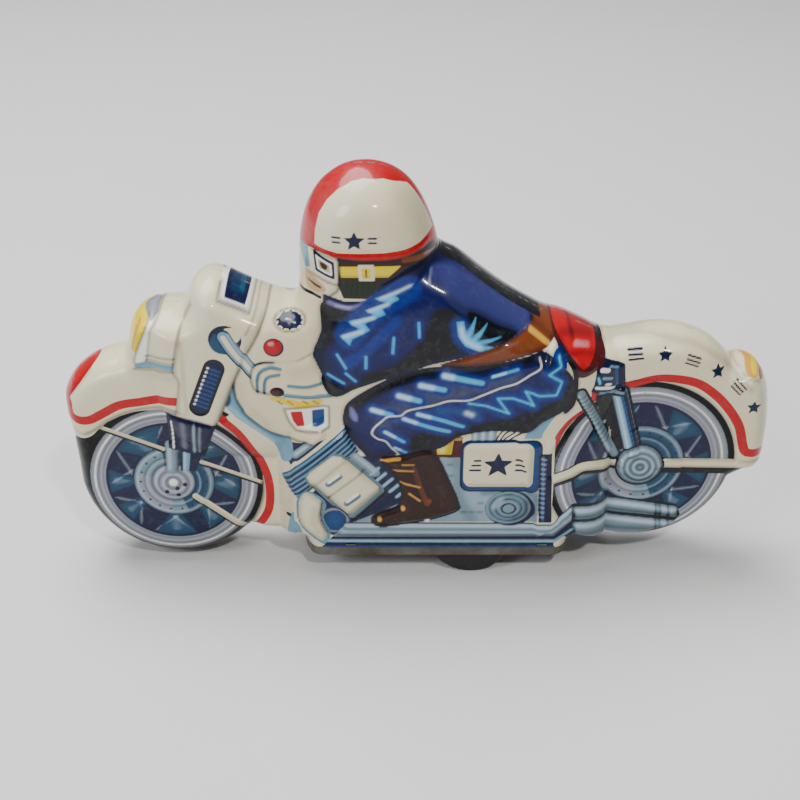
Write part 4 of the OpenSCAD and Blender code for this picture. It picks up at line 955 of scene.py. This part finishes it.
# the same points on a plane that faces the camera
slant = np.stack([points[:, 0], points[:, 1] * math.cos(look_down) - flat_y * math.sin(look_down)], 1)
picture = Print(points, slant)
draw_front_wheel(picture)
draw_rear_wheel(picture)
draw_front_mudguard(picture)
draw_engine(picture)
draw_tank(picture)
draw_lamp_and_fairing(picture)
draw_hand(picture)
draw_toolbox(picture)
draw_head(picture)
draw_rider(picture)
draw_boot(picture)
out_y = pressed(points, picture.lift)
# the far side of the rider's back is printed dark along the seam
spine = np.where((points[:, 0] > 5) & (points[:, 0] < 35) & (points[:, 1] > 80))[0]
picture.lay("black", spine, flat_y[spine] - 5.5)
# and the red crest runs on as a narrow band to the back of the helmet
crest = np.where((np.abs(points[:, 0]) < 7) & (points[:, 1] > 110.5))[0]
picture.lay("red", crest, flat_y[crest] - 2.8)
sheet = bpy.data.meshes.new("printed_sheet")
outside.to_mesh(sheet)
outside.free()
for k in range(0, len(INKS), 3):
    layer = sheet.attributes.new("ink_%d" % (k // 3), "FLOAT_VECTOR", "POINT")
    layer.data.foreach_set("vector", picture.ink[:, k : k + 3].ravel())
for name, values in (("tone", picture.tone), ("from_seam", out_y)):
    layer = sheet.attributes.new(name, "FLOAT", "POINT")
    layer.data.foreach_set("value", values)
# plain tin inside, on a coarser grid
lining = flat_sheet(1.8, 2.8, 6, TIN)
in_points = np.array([v.co[:2] for v in lining.verts])
in_y = np.maximum(pressed(in_points, 0 * in_points[:, 0]) - TIN, 0.02)
lining_sheet = bpy.data.meshes.new("lining_sheet")
lining.to_mesh(lining_sheet)
lining.free()


def pressed_half(side):
    """One half of the body: printed face, tin lining, and the cut edge between them."""
    bm = bmesh.new()
    bm.from_mesh(sheet)
    start = len(bm.faces)
    bm.from_mesh(lining_sheet)
    bm.verts.ensure_lookup_table()
    bm.faces.ensure_lookup_table()
    for v, q, y in zip(bm.verts, np.vstack([points, in_points]), np.hstack([out_y, in_y])):
        v.co = Vector((q[0], side * y, q[1])) * MM
    for f in bm.faces:
        f.smooth = True
    for f in bm.faces[start:]:
        f.material_index = 1
    bm.normal_update()
    for faces, way in ((bm.faces[:start], side), (bm.faces[start:], -side)):
        if max(faces, key=lambda f: f.calc_area()).normal.y * way < 0:
            bmesh.ops.reverse_faces(bm, faces=faces)
    hem = [e for e in bm.edges
           if e.is_boundary and all(abs(v.co.z - HEM_Z * MM) < 0.02 * MM for v in e.verts)]
    for f in bmesh.ops.bridge_loops(bm, edges=hem)["faces"]:
        f.material_index = 1
    # slot for the front roller, cut square out of the bottom of the printed wheel
    x = FRONT_WHEEL[0] * MM
    half_x = 5.6 * MM
    half_y = 3.5 * MM
    top = 4 * MM
    for where, across in (((x - half_x, 0, 0), (1, 0, 0)), ((x + half_x, 0, 0), (1, 0, 0)),
                          ((0, side * half_y, 0), (0, 1, 0))):
        part = [f for f in bm.faces if (c := f.calc_center_median()).z < 5 * MM
                and abs(c.x - x) < 9 * MM]
        geom = part + list({e for f in part for e in f.edges}) + list({v for f in part for v in f.verts})
        bmesh.ops.bisect_plane(bm, geom=geom, plane_co=where, plane_no=across)
    gone = [f for f in bm.faces if (c := f.calc_center_median()).z < top
            and abs(c.x - x) < half_x and abs(c.y) < half_y]
    bmesh.ops.delete(bm, geom=gone, context="FACES")
    return bm


def finish_piece(bm, name, materials, *cad):
    """Makes the object and hides the CAD nodes it stands for."""
    mesh = bpy.data.meshes.new(name)
    bm.to_mesh(mesh)
    bm.free()
    piece = bpy.data.objects.new(name, mesh)
    for m in materials:
        mesh.materials.append(m)
    bpy.context.scene.collection.objects.link(piece)
    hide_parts(*cad)
    return piece


def node_tree(name):
    """A new material, with its nodes, links and shader."""
    m = bpy.data.materials.new(name)
    m.use_nodes = True
    return m, m.node_tree.nodes, m.node_tree.links, m.node_tree.nodes["Principled BSDF"]


def linear(c):
    """A given colour, as the shader wants it."""
    return tuple(v / 12.92 if v <= 0.04045 else ((v + 0.055) / 1.055) ** 2.4 for v in c) + (1,)


def noise_node(n, lk, scale, detail, rough=0.5):
    where = n.new("ShaderNodeTexCoord")
    t = n.new("ShaderNodeTexNoise")
    t.inputs["Scale"].default_value = scale
    t.inputs["Detail"].default_value = detail
    t.inputs["Roughness"].default_value = rough
    lk.new(where.outputs["Object"], t.inputs["Vector"])
    return t.outputs["Fac"]


def math_node(n, lk, kind, a, b, c=None, clamp=False):
    m = n.new("ShaderNodeMath")
    m.operation = kind
    m.use_clamp = clamp
    for i, v in enumerate((a, b, c)):
        if v is None:
            continue
        if isinstance(v, (int, float)):
            m.inputs[i].default_value = v
        else:
            lk.new(v, m.inputs[i])
    return m.outputs[0]


def spread(n, lk, v, lo, hi, to_lo=0.0, to_hi=1.0):
    """Stretches the range lo to hi over another."""
    m = n.new("ShaderNodeMapRange")
    for i, x in zip((1, 2, 3, 4), (lo, hi, to_lo, to_hi)):
        m.inputs[i].default_value = x
    lk.new(v, m.inputs[0])
    return m.outputs[0]


def blend_node(n, lk, fac, a, b, kind="MIX"):
    m = n.new("ShaderNodeMix")
    m.data_type = "RGBA"
    m.blend_type = kind
    for sock, v in ((m.inputs[0], fac), (m.inputs[6], a), (m.inputs[7], b)):
        if isinstance(v, (int, float, tuple)):
            sock.default_value = v
        else:
            lk.new(v, sock)
    return m.outputs[2]


def bump_node(n, lk, height, distance, strength, under=None):
    b = n.new("ShaderNodeBump")
    b.inputs["Strength"].default_value = strength
    b.inputs["Distance"].default_value = distance
    lk.new(height, b.inputs["Height"])
    if under is not None:
        lk.new(under, b.inputs["Normal"])
    return b.outputs["Normal"]


# printed and lacquered face
litho, n, lk, shader = node_tree("printed_tinplate")
total = colour = None
for k, (name, (rgb, soft)) in enumerate(INKS.items()):
    if k % 3 == 0:
        layer = n.new("ShaderNodeAttribute")
        layer.attribute_name = "ink_%d" % (k // 3)
        parts = n.new("ShaderNodeSeparateXYZ")
        lk.new(layer.outputs["Vector"], parts.inputs[0])
    cover = math_node(n, lk, "MULTIPLY_ADD", parts.outputs[k % 3], -1 / soft, 0.5, clamp=True)
    coat = n.new("ShaderNodeVectorMath")
    coat.operation = "MULTIPLY_ADD"
    coat.inputs[0].default_value = linear(rgb)[:3]
    lk.new(cover, coat.inputs[1])
    if name == "tyre":
        matt = cover
    if k:
        lk.new(colour, coat.inputs[2])
        total = math_node(n, lk, "ADD", total, cover)
    else:
        total = cover
    colour = coat.outputs[0]
share = n.new("ShaderNodeVectorMath")
share.operation = "SCALE"
lk.new(colour, share.inputs[0])
lk.new(math_node(n, lk, "DIVIDE", 1.0, math_node(n, lk, "MAXIMUM", total, 0.05)),
       share.inputs["Scale"])
patchy = noise_node(n, lk, 45, 5, 0.6)
colour = blend_node(n, lk, spread(n, lk, patchy, 0.4, 0.75, 0, 0.6), share.outputs[0],
                    (0.93, 0.88, 0.74, 1), "MULTIPLY")
tone = n.new("ShaderNodeAttribute")
tone.attribute_name = "tone"
tone = tone.outputs["Fac"]
grain = noise_node(n, lk, 420, 6, 0.7)
tone = math_node(n, lk, "ADD", tone, math_node(n, lk, "MULTIPLY_ADD", grain, 0.16, -0.08))
colour = blend_node(n, lk, math_node(n, lk, "MULTIPLY", tone, -1.0, clamp=True), colour,
                    linear((0.02, 0.03, 0.08)))
colour = blend_node(n, lk, math_node(n, lk, "MULTIPLY", tone, 0.8, clamp=True), colour,
                    linear((0.80, 0.86, 0.92)))
# age: brown specks in the lacquer, and bare tin where the seam has rubbed
speck = spread(n, lk, noise_node(n, lk, 900, 3, 0.6), 0.70, 0.74)
colour = blend_node(n, lk, math_node(n, lk, "MULTIPLY", speck, 0.45), colour,
                    linear((0.25, 0.20, 0.14)))
edge = n.new("ShaderNodeAttribute")
edge.attribute_name = "from_seam"
rub = math_node(n, lk, "MULTIPLY", spread(n, lk, edge.outputs["Fac"], 0.1, 0.6, 1.0, 0.0),
                spread(n, lk, noise_node(n, lk, 260, 4, 0.7), 0.5, 0.62))
colour = blend_node(n, lk, math_node(n, lk, "MULTIPLY", rub, 0.45), colour,
                    linear((0.72, 0.70, 0.66)))
lk.new(colour, shader.inputs["Base Color"])
lk.new(math_node(n, lk, "MULTIPLY", rub, 0.3), shader.inputs["Metallic"])
lk.new(spread(n, lk, noise_node(n, lk, 150, 5, 0.6), 0.3, 0.75, 0.24, 0.42),
       shader.inputs["Roughness"])
shader.inputs["Specular IOR Level"].default_value = 0.15
lk.new(math_node(n, lk, "MULTIPLY_ADD", matt, -0.4, 0.55), shader.inputs["Coat Weight"])
shader.inputs["Coat IOR"].default_value = 1.38
lk.new(spread(n, lk, noise_node(n, lk, 90, 6, 0.65), 0.35, 0.8, 0.04, 0.16),
       shader.inputs["Coat Roughness"])
dents = bump_node(n, lk, noise_node(n, lk, 60, 3, 0.5), 0.00025, 0.6)
peel = bump_node(n, lk, noise_node(n, lk, 700, 3, 0.5), 0.00002, 0.5, dents)
lk.new(peel, shader.inputs["Normal"])
lk.new(dents, shader.inputs["Coat Normal"])

# inside face: bare tinplate with a dull bloom
lining_tin, n, lk, shader = node_tree("inside_tinplate")
cloud = noise_node(n, lk, 120, 6, 0.6)
lk.new(blend_node(n, lk, spread(n, lk, cloud, 0.35, 0.7), linear((0.66, 0.65, 0.62)),
                  linear((0.46, 0.43, 0.38))), shader.inputs["Base Color"])
shader.inputs["Metallic"].default_value = 0.85
lk.new(spread(n, lk, cloud, 0.3, 0.7, 0.3, 0.55), shader.inputs["Roughness"])
lk.new(bump_node(n, lk, noise_node(n, lk, 1500, 2), 0.00002, 0.4), shader.inputs["Normal"])

left = finish_piece(pressed_half(-1), "left_printed_half", [litho, lining_tin], "left_shell")
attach(left, "root")

# ---------- right shell ----------
# The right half, pressed with the same picture the other way round, with a
# punched hole where the winding arbor comes through. Lugs hold it to the left.
bm = pressed_half(1)
key_x = 30 * MM
key_z = 31 * MM
hole_r = 2.52 * MM
side_y = 12 * MM
gone = [f for f in bm.faces if (c := f.calc_center_median()).y > side_y
        and math.hypot(c.x - key_x, c.z - key_z) < hole_r]
bmesh.ops.delete(bm, geom=gone, context="FACES")
# the ragged hole is drawn in to a true circle
for v in bm.verts:
    r = math.hypot(v.co.x - key_x, v.co.z - key_z)
    if v.is_boundary and v.co.y > side_y and r < hole_r + 2 * MM:
        v.co.x = key_x + (v.co.x - key_x) * hole_r / r
        v.co.z = key_z + (v.co.z - key_z) * hole_r / r
right = finish_piece(bm, "right_printed_half", [litho, lining_tin], "right_shell")
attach(right, "root")


# ---------- base tray ----------
# A shallow tinplate tray, pressed with an upturned flange and held by four tabs
# through the shells. Bare tin, dull and scuffed from running on floors; its colours
# are set darker as painted shade, for the shadow under the body.
def metal(name, light, dark, rough, scale=160, grain=(1, 1, 1), marks=0.3):
    """Bare or plated metal with cloudy tarnish, fine rubbing marks and dirt."""
    m, n, lk, shader = node_tree(name)
    cloud = noise_node(n, lk, scale, 6, 0.6)
    c = blend_node(n, lk, spread(n, lk, cloud, 0.35, 0.7), linear(light), linear(dark))
    where = n.new("ShaderNodeTexCoord")
    stretch = n.new("ShaderNodeMapping")
    stretch.inputs["Scale"].default_value = grain
    lk.new(where.outputs["Object"], stretch.inputs["Vector"])
    lines = n.new("ShaderNodeTexNoise")
    lines.inputs["Scale"].default_value = 900
    lines.inputs["Detail"].default_value = 5
    lk.new(stretch.outputs[0], lines.inputs["Vector"])
    dirt = spread(n, lk, noise_node(n, lk, scale * 3, 5, 0.75), 0.62, 0.75)
    c = blend_node(n, lk, math_node(n, lk, "MULTIPLY", dirt, marks), c, linear((0.10, 0.08, 0.06)))
    lk.new(c, shader.inputs["Base Color"])
    shader.inputs["Metallic"].default_value = 1
    lk.new(spread(n, lk, cloud, 0.3, 0.75, rough * 0.8, rough * 1.35), shader.inputs["Roughness"])
    lk.new(bump_node(n, lk, lines.outputs["Fac"], 0.00003, 0.35), shader.inputs["Normal"])
    return m


def dress(material, *names):
    """Gives carried-over CAD nodes their material."""
    for name in names:
        o = nodes[name]
        o.data.materials.clear()
        o.data.materials.append(material)


# the tray's tin colours are set darker than bare tin: painted shade for the shadow under the body
dress(metal("tray_tinplate_painted_shade", (0.50, 0.49, 0.47), (0.34, 0.31, 0.27), 0.42, 90, (0.2, 6, 1), 0.5),
      "base_tray")

# ---------- front roller ----------
# A turned black roller on a riveted wire axle, in a folded tin bracket that is
# tucked inside the printed front wheel. It carries the front of the toy.
dress(metal("bracket_tinplate", (0.70, 0.69, 0.66), (0.50, 0.47, 0.42), 0.33), "front_bracket")
dress(metal("axle_wire", (0.58, 0.57, 0.56), (0.36, 0.34, 0.32), 0.28, 300, (1, 0.1, 1)), "front_axle")


def rubber(name, tint):
    """Matt black rubber or enamel with grey wear and house dust."""
    m, n, lk, shader = node_tree(name)
    cloud = noise_node(n, lk, 240, 6, 0.65)
    c = blend_node(n, lk, spread(n, lk, cloud, 0.35, 0.75), linear(tint), linear((0.12, 0.12, 0.12)))
    dust = spread(n, lk, noise_node(n, lk, 1100, 4, 0.7), 0.58, 0.72)
    c = blend_node(n, lk, math_node(n, lk, "MULTIPLY", dust, 0.4), c, linear((0.36, 0.34, 0.31)))
    lk.new(c, shader.inputs["Base Color"])
    lk.new(spread(n, lk, cloud, 0.3, 0.75, 0.5, 0.75), shader.inputs["Roughness"])
    lk.new(bump_node(n, lk, noise_node(n, lk, 1800, 4, 0.6), 0.00005, 0.5), shader.inputs["Normal"])
    return m


dress(rubber("roller_black", (0.06, 0.06, 0.065)), "front_roller")

# ---------- motor frame ----------
# Two stamped brass plates held apart by four shouldered steel pillars, their
# ends riveted over; the arbors run in plain punched holes.
plate_brass = metal("plate_brass", (0.78, 0.62, 0.30), (0.52, 0.38, 0.17), 0.30, 130, (6, 1, 0.3), 0.35)
dress(plate_brass, "motor_plate_left", "motor_plate_right")
turned_steel = metal("turned_steel", (0.60, 0.60, 0.61), (0.40, 0.39, 0.38), 0.24, 260, (1, 0.1, 1))
dress(turned_steel, "frame_pillars")

# ---------- spring and winding arbor ----------
# A coil of blued spring steel hooked to a pillar, wound by the arbor that also
# carries the ratchet wheel and comes out through the right shell.
dress(metal("blued_spring", (0.20, 0.25, 0.40), (0.34, 0.27, 0.24), 0.27, 210, (1, 0.2, 1)), "mainspring")
dress(turned_steel, "winding_arbor", "arbor_collar")
dress(metal("stamped_steel", (0.56, 0.56, 0.57), (0.37, 0.35, 0.33), 0.32, 200),
      "arbor_hook", "ratchet_wheel")

# ---------- key ----------
# A stamped steel key, nickel plated, its two round wings pierced and its stem
# pressed on the arbor; a brass eyelet lines the hole in the shell.
key_plate = metal("key_nickel", (0.76, 0.75, 0.72), (0.58, 0.55, 0.50), 0.20, 180, (1, 1, 1), 0.4)
dress(key_plate, "key_barrel", "key_wings")
dress(metal("eyelet_brass", (0.80, 0.65, 0.34), (0.56, 0.42, 0.20), 0.28, 300), "key_eyelet")

# ---------- gear train ----------
# Stamped brass wheels on steel arbors with cut pinions; a springy click on the
# great wheel drops into the ratchet so that the key only drives one way.
wheel_brass = metal("wheel_brass", (0.82, 0.67, 0.34), (0.58, 0.44, 0.20), 0.26, 170, (1, 4, 1), 0.3)
dress(wheel_brass, "great_wheel", "second_wheel")
dress(metal("click_steel", (0.40, 0.44, 0.52), (0.30, 0.28, 0.28), 0.25, 260), "click_spring")
dress(turned_steel, "click_rivet", "second_arbor", "second_pinion", "drive_pinion")

# ---------- drive wheels ----------
# Two rubber-tyred wheels on one steel axle that drive the toy. Each has a
# pressed tin hub crimped to the axle, and tin collars keep it off the motor.
dress(metal("drive_axle_steel", (0.62, 0.62, 0.63), (0.42, 0.41, 0.40), 0.22, 300, (1, 0.1, 1)),
      "drive_axle")
dress(metal("collar_tin", (0.68, 0.67, 0.64), (0.46, 0.44, 0.40), 0.32, 240), "axle_collars")
dress(metal("hub_tin", (0.72, 0.71, 0.68), (0.50, 0.47, 0.42), 0.28, 200, (1, 1, 1), 0.45),
      "drive_hub_left", "drive_hub_right")
dress(rubber("tyre_rubber", (0.05, 0.05, 0.052)), "drive_tyre_left", "drive_tyre_right")

# ---------- stage ----------
# A pale matt sweep of paper under soft light from a window and a ceiling.
bm = bmesh.new()
bmesh.ops.create_grid(bm, x_segments=1, y_segments=1, size=3)
floor_mesh = bpy.data.meshes.new("floor")
bm.to_mesh(floor_mesh)
bm.free()
floor = bpy.data.objects.new("floor", floor_mesh)
paper, n, lk, shader = node_tree("pale_paper")
weave = noise_node(n, lk, 30, 4, 0.6)
lk.new(blend_node(n, lk, weave, linear((0.80, 0.80, 0.81)), linear((0.83, 0.82, 0.81))),
       shader.inputs["Base Color"])
shader.inputs["Roughness"].default_value = 0.85
lk.new(bump_node(n, lk, noise_node(n, lk, 1800, 3), 0.0001, 0.25), shader.inputs["Normal"])
floor_mesh.materials.append(paper)
bpy.context.scene.collection.objects.link(floor)
for name, at, size, power, tint in (
    ("ceiling", (-0.25, 0.3, 1.1), 0.8, 22, (1, 1, 1)),
    ("window", (-0.9, -0.75, 0.8), 0.45, 10, (0.95, 0.97, 1)),
    ("near_lamp", (0.3, -0.8, 1.0), 0.07, 7, (1, 0.97, 0.92)),
):
    lamp_data = bpy.data.lights.new(name, "AREA")
    lamp_data.size = size
    lamp_data.energy = power
    lamp_data.color = tint
    lamp = bpy.data.objects.new(name, lamp_data)
    lamp.location = at
    lamp.rotation_mode = "QUATERNION"
    lamp.rotation_quaternion = (target - Vector(at)).to_track_quat("-Z", "Y")
    bpy.context.scene.collection.objects.link(lamp)
world = bpy.data.worlds.new("room")
world.use_nodes = True
background = world.node_tree.nodes["Background"]
background.inputs["Color"].default_value = (0.78, 0.80, 0.84, 1)
background.inputs["Strength"].default_value = 0.3
bpy.context.scene.world = world
